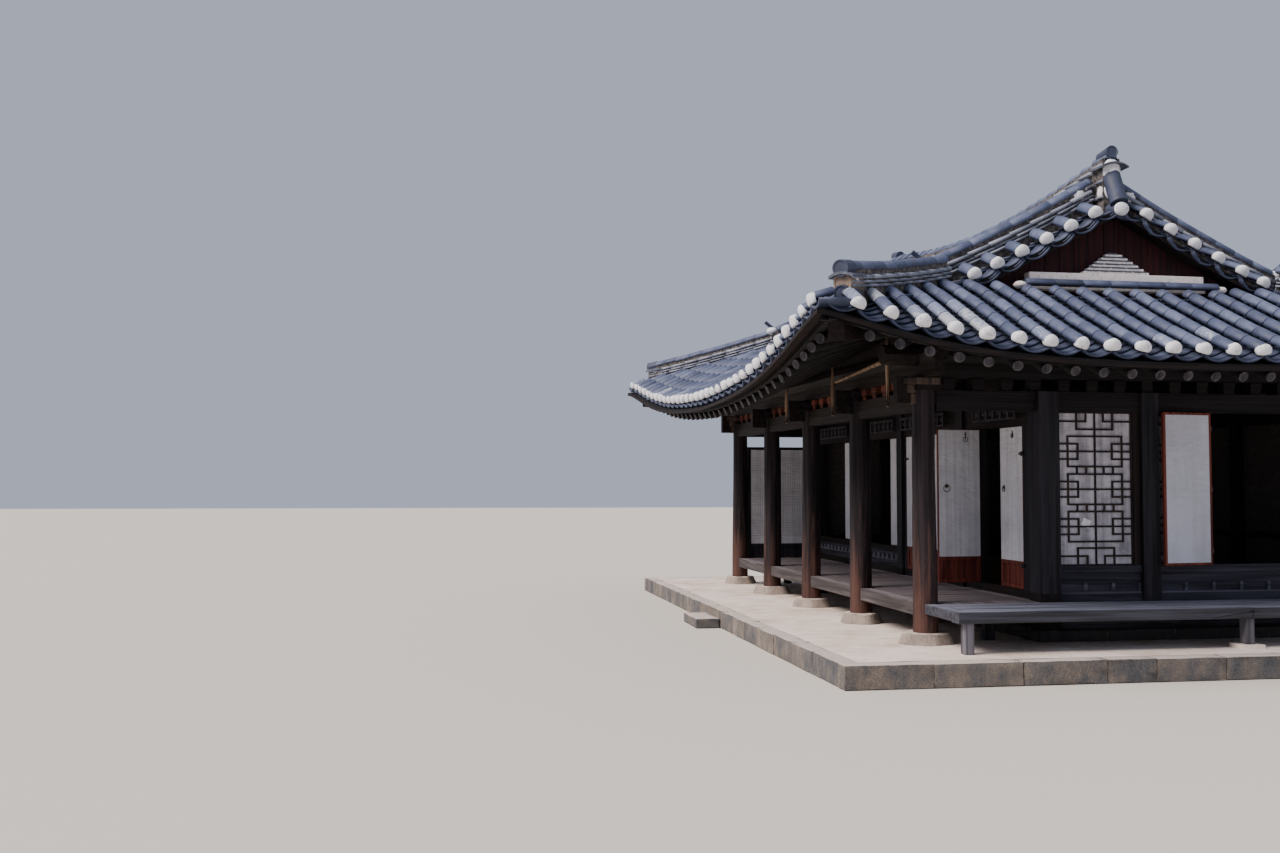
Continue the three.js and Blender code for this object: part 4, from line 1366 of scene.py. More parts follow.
@dataclass
class Line:
    """A line over the roof that is measured along its length."""

    points: list[Vector]
    sums: list[float] = field(init=False)

    def __post_init__(self) -> None:
        """Add up the lengths."""
        self.sums = [0.0]
        for a, b in zip(self.points, self.points[1:]):
            self.sums.append(self.sums[-1] + (b - a).length)

    @property
    def length(self) -> float:
        """The whole length."""
        return self.sums[-1]

    def at(self, run: float) -> Vector:
        """The point at a distance along the line.

        Args:
            run: The distance.

        Returns:
            The point.
        """
        run = min(max(run, 0.0), self.length)
        for i in range(len(self.points) - 1):
            if run <= self.sums[i + 1] or i == len(self.points) - 2:
                part = (run - self.sums[i]) / (self.sums[i + 1] - self.sums[i])
                return self.points[i].lerp(self.points[i + 1], part)
        return self.points[-1]

    def station(self, run: float, rise: float = 0.0) -> Matrix:
        """A frame with X along the line, Y level across it and Z up.

        Args:
            run: Distance along the line.
            rise: Height over the line.

        Returns:
            The frame.
        """
        low = max(run - 0.05, 0.0)
        high = min(low + 0.1, self.length)
        low = high - 0.1
        along = (self.at(high) - self.at(low)).normalized()
        side = Vector((0, 0, 1)).cross(along).normalized()
        return frame_at(self.at(run) + Vector((0, 0, rise)), along, side, along.cross(side))


@dataclass
class LayeredRidge:
    """A ridge of flat tiles in lime mortar under a row of cover tiles."""

    name: str
    line: Line
    palette: Palette
    kit: TileKit
    width: float = 0.22
    first: float = 0.055
    top: float = 0.33
    foot: float = 0.12
    spacing: float = 0.06
    flat_long: float = 0.3
    grow: float = 1.16
    top_at: Callable[[float], float] | None = None
    seed: int = 3

    def crown(self, run: float) -> float:
        """Height of the ridge's top over its line."""
        return self.top_at(run) if self.top_at else self.top

    def build(self) -> None:
        """Lay the mortar core, the courses of flat tiles and the cover tiles."""
        rng = random.Random(self.seed)
        line = self.line
        cells = max(int(line.length / 0.15), 4)
        runs = [line.length * i / cells for i in range(cells + 1)]
        radius = self.kit.radius * self.grow
        spans = [(-self.foot, self.crown(r) - radius) for r in runs]
        stations = [line.station(r) for r in runs]
        core = swept(f"{self.name}_tiles_mortar", stations, self.width - 0.07, spans)
        lowest = min(self.crown(r) for r in runs)
        flats, tones = [], []
        count = max(round((lowest - 2 * radius - self.first) / self.spacing), 1)
        for course in range(count + 1):
            share = course / count
            run = rng.uniform(-0.2, 0.0)
            while run < line.length - 0.02:
                start, end = max(run, 0.0), min(run + self.flat_long, line.length)
                if end - start > 0.04:
                    middle = (start + end) / 2
                    full = self.crown(middle) - 2 * radius - 0.01 - self.first
                    height = self.first + share * full
                    edge = 0.012 if course < count else -0.012
                    wide = self.width - edge + rng.uniform(-0.008, 0.008)
                    long = end - start - 0.008
                    place = line.station(middle, height + rng.uniform(-0.003, 0.003))
                    slip = Matrix.Translation((-long / 2, rng.uniform(-0.005, 0.005), 0))
                    thick = 1.5 if course == count else 1.0
                    flats.append(place @ slip @ Matrix.Diagonal((long, wide, thick, 1)))
                    tones.append(rng.uniform(0.25, 0.8) + (0.2 if course == count else 0.0))
                run += self.flat_long
        covers, cover_tones = [], []
        run = 0.0
        while run < line.length - 0.03:
            long = min(self.kit.length, line.length - run)
            place = line.station(run + long / 2, self.crown(run + long / 2) - radius)
            slip = Matrix.Translation((-long / 2, 0, rng.uniform(-0.003, 0.003)))
            size = Matrix.Diagonal((long / self.kit.length, self.grow, self.grow, 1))
            covers.append(place @ slip @ size)
            cover_tones.append(rng.uniform(0.3, 0.8))
            run += long * 0.95
        courses = lay(f"{self.name}_tiles_flat_courses", self.kit.flat, flats, tones)
        caps = lay(f"{self.name}_tiles_cover_tiles", self.kit.cover, covers, cover_tones)
        finish_piece(caps, self.palette.tile, "clay_tile", (self.name,))
        finish_piece(courses, self.palette.layer_tile, "clay_tile")
        finish_piece(core, self.palette.ridge_mortar, "clay_tile")


@dataclass
class Ridges:
    """All nine ridges, with their ends."""

    form: RoofForm
    palette: Palette
    kit: TileKit
    main_half: float = 3.5
    main_base: float = 5.163
    fall_from: float = 2.19
    fall_away: float = 3.27

    def mirror(self, point: Vector, x: int, y: int) -> Vector:
        """Mirror a point of the -X -Y quarter into another quarter."""
        return Vector((point.x * x, point.y * y, point.z))

    def quarter_lines(self, x: int, y: int) -> tuple[Line, Line]:
        """The hip line from its foot up and the descending line from its foot up, in a quarter.

        Args:
            x: -1 or 1, which turns the quarter in X.
            y: -1 or 1, which turns it in Y.

        Returns:
            The hip line and the descending line.
        """
        form = self.form
        hip = []
        for i in range(13):
            run = 0.4 + 1.86 * i / 12
            height = form.hip(min(run, form.hip_run)) + 0.3 * max(0.0, run - form.hip_run)
            point = Vector((run - form.half_depth, run - form.half_length, height + GROUND_TO_TOP))
            hip.append(self.mirror(point, x, y))
        fall = []
        slope = Slope(form, Side.FRONT)
        for i in range(15):
            run = self.fall_from + (form.ridge_run - 0.03 - self.fall_from) * i / 14
            point = slope.point(run, form.half_length + self.fall_away)
            fall.append(self.mirror(point, x, y))
        return Line(hip), Line(fall)

    def build(self) -> None:
        """Build the ridges of the four quarters and the main ridge."""
        for number, (x, y) in enumerate(((-1, -1), (1, -1), (-1, 1), (1, 1)), 1):
            hip, fall = self.quarter_lines(-x, -y)
            hip_name, fall_name = f"hip_ridge_{number}", f"descending_ridge_{number}"
            LayeredRidge(hip_name, hip, self.palette, self.kit, seed=number).build()
            LayeredRidge(
                fall_name, fall, self.palette, self.kit, top=0.35, foot=0.06, seed=number + 10
            ).build()
            self.hip_end(hip_name, hip)
            self.fall_foot(fall_name, fall)
        self.main_ridge()

    def main_crown(self, run: float) -> float:
        """Height of the main ridge's top over its line, at a distance along it."""
        return 0.337 + 0.27 * ((run - self.main_half) / self.main_half) ** 2

    def main_ridge(self) -> None:
        """Build the main ridge, its top curving up to both ends."""
        base = self.main_base + GROUND_TO_TOP
        half = self.main_half
        points = [Vector((0, -half + 2 * half * i / 20, base)) for i in range(21)]
        LayeredRidge(
            "main_ridge", Line(points), self.palette, self.kit, width=0.29, foot=0.15, first=0.03,
            top_at=self.main_crown, seed=31,
        ).build()
        for end in (-1, 1):
            self.ridge_end("near" if end < 0 else "far", end)

    def tube(self, name: str, start: Vector, end: Vector, radius: float, sides: int = 16) -> Object:
        """Model a round closed tile between two points, with eased ends.

        Args:
            name: The tile's name.
            start: Middle of one end.
            end: Middle of the other end.
            radius: Its radius.
            sides: Steps round it.

        Returns:
            The tile.
        """
        axis = end - start
        turn = axis.to_track_quat("Z", "Y").to_euler()
        obj = cylinder(name, sides, radius, axis.length, (start + end) / 2, turn)
        with editing("DESELECT"):
            choose(obj, "faces", lambda face: len(face.verts) > 4)
            bpy.ops.mesh.inset(thickness=radius * 0.16, depth=0)
            bpy.ops.mesh.inset(thickness=radius * 0.06, depth=-radius * 0.08)
        smooth(obj, 35)
        return obj

    def curl(self, name: str, place: Matrix, width: float, long: float, drop_edge: float) -> Object:
        """Model a broad flat tile whose edges curl down, lying along X of a frame."""
        return moved(self.kit.trough(name, long, width, -drop_edge, 0.03, 8), place)

    def hip_end(self, name: str, line: Line) -> None:
        """Close the outer end of a hip ridge: end tile, lime, curled tile and round cap.

        Args:
            name: The ridge's name.
            line: The line that it follows.
        """
        at = line.station(0.0)
        for part, start, end, radius, finish in (
            ("tile", (-0.035, 0, 0.25), (0.16, 0, 0.25), 0.088, self.palette.tile),
            ("plug", (-0.01, 0, 0.1), (0.3, 0, 0.09), 0.1, self.palette.plug_lime),
            ("drum", (-0.05, 0, 0.0), (0.2, 0, 0.02), 0.085, self.palette.tile),
        ):
            round_tile = self.tube(
                f"{name}_end_{part}", at @ Vector(start), at @ Vector(end), radius
            )
            finish_piece(round_tile, finish, "clay_tile")
        place = at @ Matrix.Translation((-0.04, 0, 0.15))
        curled = self.curl(f"{name}_curled_tile", place, 0.27, 0.34, 0.04)
        finish_piece(curled, self.palette.layer_tile, "clay_tile")
        lump = self.kit.dollop
        lime = lump("end_lime", at @ Vector((0.15, 0, 0.13)), (0.105, 0.1, 0.07), 5)
        side = lump("side_lime", at @ Vector((0.3, 0, 0.07)), (0.05, 0.115, 0.07), 6)
        finish_piece(merged(f"{name}_lime", [lime, side]), self.palette.lime, "clay_tile")

    def fall_foot(self, name: str, line: Line) -> None:
        """Close a descending ridge: an upright tile at its foot, and lime at both ends.

        Args:
            name: The ridge's name.
            line: The line that it follows.
        """
        at = line.station(0.0)
        foot, tip = at @ Vector((0.07, 0, 0.3)), at @ Vector((-0.02, 0, 0.47))
        spike = self.tube(f"{name}_spike", foot, tip, 0.03, 10)
        finish_piece(spike, self.palette.tile, "clay_tile")
        lump = self.kit.dollop
        lime = lump(f"{name}_foot_lime", at @ Vector((0.03, 0, 0.28)), (0.1, 0.085, 0.07), 8)
        finish_piece(lime, self.palette.lime, "clay_tile")
        head = line.station(line.length) @ Vector((-0.1, 0, 0.19))
        meet = lump(f"{name}_head_lime", head, (0.12, 0.1, 0.11), 9)
        finish_piece(meet, self.palette.lime, "clay_tile")

    def over_ridge(self, end: int, y: float, z: float) -> Vector:
        """A point of the ridge's plane, by distance from the middle and height."""
        return Vector((0, end * y, z + GROUND_TO_TOP))

    def ridge_end(self, name: str, end: int) -> None:
        """Close an end of the main ridge: lime, a curled tile and tiles that hang over the verge.

        Args:
            name: The end's name.
            end: -1 at the bench end, 1 at the far end.
        """
        spot = self.over_ridge
        # The cap, the tile that hangs below it and the one that drips over the verge
        tiles = [
            self.tube("end_tile", spot(end, *inner), spot(end, *outer), radius)
            for inner, outer, radius in (
                ((3.28, 5.73), (3.53, 5.76), 0.075),
                ((3.48, 5.5), (3.66, 5.1), 0.105),
                ((3.3, 5.08), (3.7, 5.0), 0.09),
            )
        ]
        finish_piece(merged(f"ridge_{name}_end_tiles", tiles), self.palette.tile, "clay_tile")
        lumps = [
            self.kit.dollop("end_lump", spot(end, *middle), size, seed)
            for middle, size, seed in (
                ((3.5, 5.52), (0.115, 0.09, 0.16), 11),
                ((3.42, 5.28), (0.13, 0.13, 0.15), 12),
                ((3.71, 5.02), (0.095, 0.05, 0.085), 13),
            )
        ]
        finish_piece(merged(f"ridge_{name}_lime", lumps), self.palette.lime, "clay_tile")
        place = Matrix.Translation(spot(end, 3.3, 5.55)) @ Matrix.Rotation(
            end * math.pi / 2, 4, "Z"
        )
        curled = self.curl(f"ridge_{name}_curled_tile", place, 0.34, 0.31, 0.05)
        finish_piece(curled, self.palette.layer_tile, "clay_tile")


@dataclass
class Verge:
    """The short cover and pan tiles that hang over each gable."""

    form: RoofForm
    palette: Palette
    kit: TileKit
    each: int = 6
    spacing: float = 0.312
    droop: float = 0.38
    edge: float = 3.72
    sink: float = 0.135
    widest: float = 2.05

    def height(self, x: float) -> float:
        """Height of the roof at the verge, at a distance from the ridge.

        Args:
            x: Distance from the ridge.

        Returns:
            The height.
        """
        run = self.form.half_depth - abs(x)
        return Slope(self.form, Side.FRONT).point(
            run, 2 * self.form.half_length - self.form.hip_run
        ).z

    def place(self, x: float, end: int, rise: float) -> Matrix:
        """A frame at the verge with X pointing in from its edge and Z up out of the roof.

        Args:
            x: Distance from the ridge.
            end: -1 at the bench end, 1 at the far end.
            rise: Distance out of the roof.

        Returns:
            The frame.
        """
        low, high = self.height(x - 0.03), self.height(x + 0.03)
        along = Vector((0.06, 0, high - low)).normalized()
        inward = Vector((0, -end, self.droop)).normalized()
        out = inward.cross(along)
        if out.z < 0:
            out = -out
        out.normalize()
        origin = Vector((x, end * self.edge, self.height(x) - self.sink)) + out * rise
        return frame_at(origin, inward, out.cross(inward), out)

    def build(self) -> None:
        """Lay both verges."""
        rng = random.Random(17)
        for name, end in (("bench", -1), ("far", 1)):
            covers, tones, lumps, pans, pan_tones = [], [], [], [], []
            for side in (-1, 1):
                for k in range(1, self.each + 1):
                    x = side * self.spacing * k * (1.0 if k < self.each else 0.985)
                    at = self.place(x, end, 0.035) @ Matrix.Translation((0.02, 0, 0))
                    covers.append(at @ Matrix.Diagonal((1.1, 1, 1, 1)))
                    tones.append(rng.uniform(0.3, 0.7))
                    lumps.append(at)
                for k in range(self.each + 1):
                    x = side * self.spacing * (k + 0.5)
                    if abs(x) > self.widest:
                        continue
                    at = self.place(x, end, 0.0)
                    fit = Matrix.Diagonal((1, 0.98, 1, 1))
                    for step in range(3):
                        pans.append(at @ Matrix.Translation((0.03 * step, 0, 0.02 * step)) @ fit)
                        pan_tones.append(rng.uniform(0.0, 0.4))
            top = lay(f"{name}_verge_cover_tiles", self.kit.cover, covers, tones)
            finish_piece(top, self.palette.tile, "clay_tile")
            trough = lay(f"{name}_verge_pan_tiles", self.kit.pan, pans, pan_tones)
            finish_piece(trough, self.palette.tile, "clay_tile")
            ends = lay(f"{name}_verge_lime_ends", self.kit.lump, lumps)
            finish_piece(ends, self.palette.lime, "clay_tile")


@dataclass
class Gable:
    """One gable: red boards, a stepped stack of lime and tile, and cover tiles at its foot."""

    form: RoofForm
    palette: Palette
    kit: TileKit
    name: str
    end: int
    wall: float = 3.47
    half: float = 1.45
    foot: float = 4.17
    board_wide: float = 0.193

    def underside(self, x: float) -> float:
        """Height of the underside of the roof boards near the verge.

        Args:
            x: Distance from the ridge.

        Returns:
            The height.
        """
        run = self.form.half_depth - abs(x)
        slope = Slope(self.form, Side.FRONT)
        return slope.point(run, 2 * self.form.half_length - self.form.gable_run).z - 0.27

    def build(self) -> None:
        """Build the gable."""
        rng = random.Random(5)
        foot = self.foot + GROUND_TO_TOP
        boards = []
        wide = self.board_wide
        count = round(2 * self.half / wide)
        for i in range(count):
            low, high = -self.half + i * wide, -self.half + (i + 1) * wide
            top = self.underside(min(abs(low), abs(high))) + 0.03
            push = rng.uniform(0, 0.008)
            if top > foot - 0.15:
                back, front = self.wall - 0.03, self.wall + push
                boards.append(self.slab(low + 0.002, high - 0.002, back, front, foot - 0.22, top))
        wall = joinery(f"{self.name}_gable_wall_boards", boards, 0.004)
        finish_piece(wall, self.palette.red_boards, "red_boards", (f"{self.name}_gable",))
        self.stack(foot, rng)
        self.band(rng)

    def slab(self, x0: float, x1: float, y0: float, y1: float, z0: float, z1: float) -> Bar:
        """A bar between distances from the middle of the house."""
        low, high = sorted((self.end * y0, self.end * y1))
        return Bar((x0, low, z0), (x1, high, z1))

    def stack(self, foot: float, rng: random.Random) -> None:
        """Lay the stack: a long lime strip, then courses that step in to a blunt top.

        Args:
            foot: Height of the stack's foot.
            rng: Source of the uneven lengths.
        """
        back = self.wall - 0.01
        lime = [
            self.slab(-1.15, 1.15, back, 3.6, foot - 0.12, foot - 0.035),
            self.slab(-1.13, 1.13, back, 3.6, foot - 0.005, foot + 0.085),
        ]
        tile = []
        x = -1.2
        while x < 1.18:
            long = min(rng.uniform(0.3, 0.42), 1.2 - x)
            tile.append(self.slab(x, x + long - 0.006, back, 3.625, foot - 0.034, foot - 0.008))
            x += long
        for course in range(6):
            half = 0.42 - 0.062 * course
            low = foot + 0.086 + 0.044 * course
            step = 0.012 * course
            lime.append(self.slab(-half, half, back, 3.59 - step, low, low + 0.03))
            x = -half + 0.02
            while x < half - 0.06:
                long = min(rng.uniform(0.12, 0.2), half - 0.02 - x)
                high = low + 0.044
                tile.append(self.slab(x, x + long - 0.025, back, 3.6 - step, low + 0.029, high))
                x += long
        strips = joinery(f"{self.name}_gable_lime_stack", lime, 0.008, 2)
        finish_piece(strips, self.palette.stack_lime, "lime_floor")
        courses = joinery(f"{self.name}_gable_tile_courses", tile, 0.004)
        finish_piece(courses, self.palette.layer_tile, "clay_tile")

    def band(self, rng: random.Random) -> None:
        """Lay the row of cover tiles at the foot of the stack, with lime at both ends.

        Args:
            rng: Source of the uneven turns.
        """
        height = self.form.end_height(2.07, self.form.half_depth) + GROUND_TO_TOP
        covers, tones = [], []
        x = -1.22
        while x < 1.2:
            place = Matrix.Translation((x, self.end * 3.69, height + 0.045))
            turn = Matrix.Rotation(rng.uniform(-0.01, 0.01), 4, "Z")
            covers.append(place @ turn @ Matrix.Diagonal((1.17, 1, 1, 1)))
            tones.append(rng.random())
            x += 0.35
        row = lay(f"{self.name}_gable_foot_tiles", self.kit.cover, covers, tones)
        finish_piece(row, self.palette.tile, "clay_tile")
        lumps = []
        for side in (-1, 1):
            middle = Vector((side * 1.29, self.end * 3.68, height + 0.045))
            lumps.append(self.kit.dollop("lump", middle, (0.08, 0.075, 0.045), 20 + side))
        lime = merged(f"{self.name}_gable_foot_lime", lumps)
        finish_piece(lime, self.palette.stack_lime, "lime_floor")


# Rafters under the eaves


@dataclass
class Rafters:
    """Round rafters with limed ends, fanned at the corners, and the strip on their tips."""

    form: RoofForm
    palette: Palette
    radius: float = 0.06
    pitch: float = 0.317
    tip_in: float = 0.22
    strip_high: float = 0.065
    rim: float = 0.018
    fan_from: float = 2.5
    fan_foot: float = 1.82

    def model(self) -> Object:
        """Model a rafter one metre long, with a limed rim and a grey heart on its tip.

        Returns:
            The rafter.
        """
        obj = cylinder("rafter_model", 14, self.radius, 1.0, (0.5, 0, 0), ALONG_X)
        for material in (self.palette.beam_x, self.palette.ring, self.palette.muntin):
            obj.data.materials.append(material)
        with editing("DESELECT"):
            choose(obj, "faces", lambda f: len(f.verts) > 4 and f.calc_center_median().x < 0.5)
            for index, (inset, depth) in enumerate(((0.004, 0.004), (self.rim, 0)), 1):
                bpy.ops.mesh.inset(thickness=inset, depth=depth)
                obj.active_material_index = index
                bpy.ops.object.material_slot_assign()
        smooth(obj, 35)
        return obj

    def underside(self, slope: Slope, d: float, s: float) -> float:
        """Height of the underside of the roof boards."""
        return slope.point(d, s).z - self.form.thick(d) - 0.04

    def build(self) -> None:
        """Lay the rafters of the four slopes."""
        model = self.model()
        for side in Side:
            slope = Slope(self.form, side)
            seat = 1.75 if slope.is_long else 1.65
            deep = 2.9 if slope.is_long else 2.0
            places = []
            half = slope.length / 2
            count = int((half - 0.42) / self.pitch)
            for k in range(-count, count + 1):
                s = half + k * self.pitch
                away = half - abs(s - half)
                fan = min(1.0, max(0.0, (away - 0.35) / 2.15))
                foot_away = away
                if away <= self.fan_from:
                    foot_away = self.fan_foot + fan * (self.fan_from - self.fan_foot)
                foot_s = foot_away if s < half else slope.length - foot_away
                tip_d = slope.bow(s) + self.tip_in
                tip = slope.point(tip_d, s)
                tip.z = self.underside(slope, tip_d, s) - self.radius - self.strip_high
                foot = slope.point(seat, foot_s)
                foot.z = self.underside(slope, seat, foot_s) - self.radius - 0.004
                reach = (foot - tip).length
                more = (deep - seat) if away > self.fan_from else 0.22
                end = foot + (foot - tip) / reach * more
                axis = end - tip
                across = Vector((0, 0, 1)).cross(axis).normalized()
                out = axis.normalized().cross(across)
                at = frame_at(tip, axis.normalized(), across, out)
                places.append(at @ Matrix.Diagonal((axis.length, 1, 1, 1)))
            finish_piece(lay(f"{side.value}_rafters", model, places), None, "dark_timber")
            self.strip(slope)
        drop(model)

    def strip(self, slope: Slope) -> None:
        """Run the curved strip along the eave, on the rafters' tips.

        Args:
            slope: The slope.
        """
        stations = []
        for i in range(49):
            s = 0.1 + (slope.length - 0.2) * i / 48
            d = slope.bow(s) + 0.2
            ahead = slope.point(d, min(s + 0.05, slope.length))
            along = (ahead - slope.point(d, s - 0.05)).normalized()
            side = Vector((0, 0, 1)).cross(along).normalized()
            foot = slope.point(d, s)
            foot.z = self.underside(slope, d, s) - self.strip_high
            stations.append(frame_at(foot, along, side, along.cross(side)))
        spans = [(0.0, self.strip_high)] * len(stations)
        bar = swept(f"{slope.side.value}_eave_strip", stations, 0.08, spans)
        finish_piece(bar, self.palette.boards_dark, "dark_timber")


# Timber frame


@dataclass
class Columns:
    """The five round veranda columns, hewn by hand from whole trunks."""

    palette: Palette
    x: float = -2.68
    foot: float = 0.356
    head: float = 3.025
    foot_radius: float = 0.138
    head_radius: float = 0.122
    sides: int = 28
    rings: int = 14

    def build(self) -> None:
        """Hew the columns."""
        for number, y in enumerate(COLUMN_ROWS, 1):
            self.column(number, y)

    def column(self, number: int, y: float) -> None:
        """Hew one column: tapered, a little bent and faceted, with drying cracks.

        Args:
            number: The column's number.
            y: Its place along the veranda.
        """
        rng = random.Random(40 + number)
        height = self.head - self.foot
        middle = (self.x, y, self.foot + height / 2)
        obj = cylinder(f"veranda_column_{number}_hewn", self.sides, 1.0, height, middle)
        cut_rings(self.foot + height * i / self.rings for i in range(1, self.rings))
        full = 2 * math.pi
        cracks = [
            (rng.uniform(0, full), rng.uniform(0.1, 0.6), rng.uniform(0.5, 1.0)) for _ in range(5)
        ]
        waves = [rng.uniform(0, full) for _ in range(4)]
        for vertex in obj.data.vertices:
            level = (vertex.co.z - self.foot) / height
            angle = math.atan2(vertex.co.y - y, vertex.co.x - self.x)
            radius = self.foot_radius + (self.head_radius - self.foot_radius) * level
            facets = 0.002 * math.sin(8 * angle + waves[0])
            radius += facets + 0.0025 * math.sin(3 * angle + waves[1] + 4 * level)
            for turn, low, high in cracks:
                gap = abs(math.remainder(angle - turn - 0.3 * level, full))
                if gap < 0.13 and low < level < high:
                    radius -= 0.006
            lean = 0.003 * math.sin(5 * level + waves[2])
            vertex.co.x = self.x + radius * math.cos(angle) + lean
            vertex.co.y = y + radius * math.sin(angle) + 0.003 * math.sin(4 * level + waves[3])
        obj.data.update()
        smooth(obj, 30)
        finish_piece(obj, self.palette.column, "dark_timber", (f"veranda_column_{number}",))


@dataclass
class EaveTimber:
    """Small blocks, capitals with carved arms, straps and the pole under the eave."""

    form: RoofForm
    palette: Palette
    x: float = 2.68
    y: float = 4.12
    block_foot: float = 3.026
    block_head: float = 3.164
    pitch: float = 0.343
    half: float = 0.074

    def build(self) -> None:
        """Build the small timber around the eave beams."""
        self.small_blocks()
        self.capitals()
        self.straps()
        self.pole()

    def block(self, x: float, y: float, half: float, low: float, high: float) -> list[Bar]:
        """A block with a cut-away foot.

        Args:
            x: Its middle in X.
            y: Its middle in Y.
            half: Half its width.
            low: Height of its foot.
            high: Height of its head.

        Returns:
            The foot and the head.
        """
        middle = low + (high - low) * 0.42
        slim = half * 0.82
        return [
            Bar((x - slim, y - slim, low), (x + slim, y + slim, middle)),
            Bar((x - half, y - half, middle - 0.001), (x + half, y + half, high)),
        ]

    def small_blocks(self) -> None:
        """Set the small blocks between tie beam and plate, reddish along the veranda and near-black
        elsewhere, partly painted shade.
        """
        red, grey = [], []
        count = int(self.y / self.pitch)
        for i in range(-count, count + 1):
            y = i * self.pitch
            if min(abs(y - row) for row in COLUMN_ROWS) > 0.2:
                red += self.block(-self.x, y, self.half, self.block_foot, self.block_head)
                grey += self.block(self.x, y, self.half, self.block_foot, self.block_head)
        count = int((self.x - 0.125) / self.pitch)
        for i in range(-count, count + 1):
            for y in (-self.y, self.y):
                x = i * self.pitch
                if abs(x) > 0.18 and abs(x + 1.25) > 0.2 and abs(abs(x) - self.x) > 0.2:
                    grey += self.block(x, y, self.half, self.block_foot, self.block_head)
        for name, bars, finish in (
            ("red", red, self.palette.block_red),
            ("grey", grey, self.palette.block_grey),
        ):
            finish_piece(joinery(f"eave_small_blocks_{name}", bars, 0.006), finish, "dark_timber")

    def arm(self, x: float, y: float, out: int) -> list[Bar]:
        """A carved arm under the plate, stepped like a cloud.

        Args:
            x: The column's middle in X.
            y: The column's middle in Y.
            out: -1 or 1, the way that it points in X.

        Returns:
            The steps.
        """
        bars = []
        for reach, low, high in ((0.25, 3.09, 3.165), (0.21, 2.99, 3.09), (0.17, 2.872, 2.99)):
            x0, x1 = sorted((x, x + out * reach))
            bars.append(Bar((x0, y - 0.062, low), (x1, y + 0.062, high)))
        return bars

    def capitals(self) -> None:
        """Set a capital and a carved arm on each column; those at the corners are bleached."""
        pale, dark = [], []
        for side in (-1, 1):
            for y in COLUMN_ROWS:
                bars = self.block(side * self.x, y, 0.145, self.block_foot, self.block_head - 0.002)
                bars += self.arm(side * self.x, y, side)
                if abs(y) > 4 and side < 0:
                    pale += bars
                else:
                    dark += bars
        for name, bars, finish in (
            ("bleached", pale, self.palette.carved),
            ("dark", dark, self.palette.beam_x),
        ):
            finish_piece(joinery(f"column_capitals_{name}", bars, 0.012, 2), finish, "dark_timber")

    def taper(
        self, name: str, start: Vector, end: Vector, radii: list[float], sides: int = 10
    ) -> Object:
        """Turn a round stick between two points, with radii at even steps.

        Args:
            name: The stick's name.
            start: Its first end.
            end: Its other end.
            radii: Its radii.
            sides: Steps round it.

        Returns:
            The stick.
        """
        axis = end - start
        count = len(radii) - 1
        obj = cylinder(name, sides, 1.0, 1.0, (0, 0, 0.5))
        cut_rings(i / count for i in range(1, count))
        turn = axis.to_track_quat("Z", "Y").to_matrix().to_4x4()
        for vertex in obj.data.vertices:
            radius = radii[round(vertex.co.z * count)]
            x, y, z = vertex.co
            vertex.co = start + (turn @ Vector((x * radius, y * radius, z * axis.length)))
        obj.data.update()
        smooth(obj, 40)
        return obj

    def straps(self) -> None:
        """Hang the tapered wooden straps that hold lifted doors."""
        parts = []
        slope = Slope(self.form, Side.FRONT)
        radii = [0.014, 0.015, 0.019, 0.024, 0.026, 0.022, 0.017, 0.015, 0.014]
        for i, y in enumerate((-3.98, -2.06, 0.0)):
            top = slope.point(1.39, self.form.half_length - abs(y)).z - 0.32
            foot, head = Vector((-3.04, y, 2.845)), Vector((-3.04, y, top))
            parts.append(self.taper(f"strap_{i}", foot, head, radii))
        finish_piece(merged("hanging_straps", parts), self.palette.pale_pole, "dark_timber")

    def pole(self) -> None:
        """Lay the peeled pole against the purlin."""
        radii = [0.019, 0.022, 0.021, 0.025, 0.024, 0.028, 0.027, 0.03]
        thin, thick = Vector((-2.822, -1.55, 3.32)), Vector((-2.822, -3.8, 3.46))
        pole = self.taper("eave_pole", thin, thick, radii)
        finish_piece(pole, self.palette.pale_pole, "dark_timber")


# Walls, windows and doors


@dataclass(frozen=True)
class WallPlane:
    """An upright plane that pieces are set out on, along u, up z and out from it."""

    axis: Axis
    place: float
    out: int

    def turned(self) -> WallPlane:
        """The same plane, facing the other way."""
        return WallPlane(self.axis, self.place, -self.out)

    def bar(self, u0: float, u1: float, z0: float, z1: float, back: float, front: float) -> Bar:
        """A bar between two distances along, up and out of the plane.

        Args:
            u0: Start along the plane.
            u1: End along the plane.
            z0: Foot.
            z1: Head.
            back: Distance out of the plane to its back.
            front: Distance out of the plane to its front.

        Returns:
            The bar.
        """
        near, far = sorted((self.place + self.out * back, self.place + self.out * front))
        if self.axis is Axis.X:
            return Bar((min(u0, u1), near, z0), (max(u0, u1), far, z1))
        return Bar((near, min(u0, u1), z0), (far, max(u0, u1), z1))


# The lines that the walls stand on, facing out
BENCH_END = WallPlane(Axis.X, -4.12, -1)
FAR_END = WallPlane(Axis.X, 4.12, 1)
VERANDA_WALL = WallPlane(Axis.Y, -1.25, -1)
BACK_WALL = WallPlane(Axis.Y, 2.68, 1)


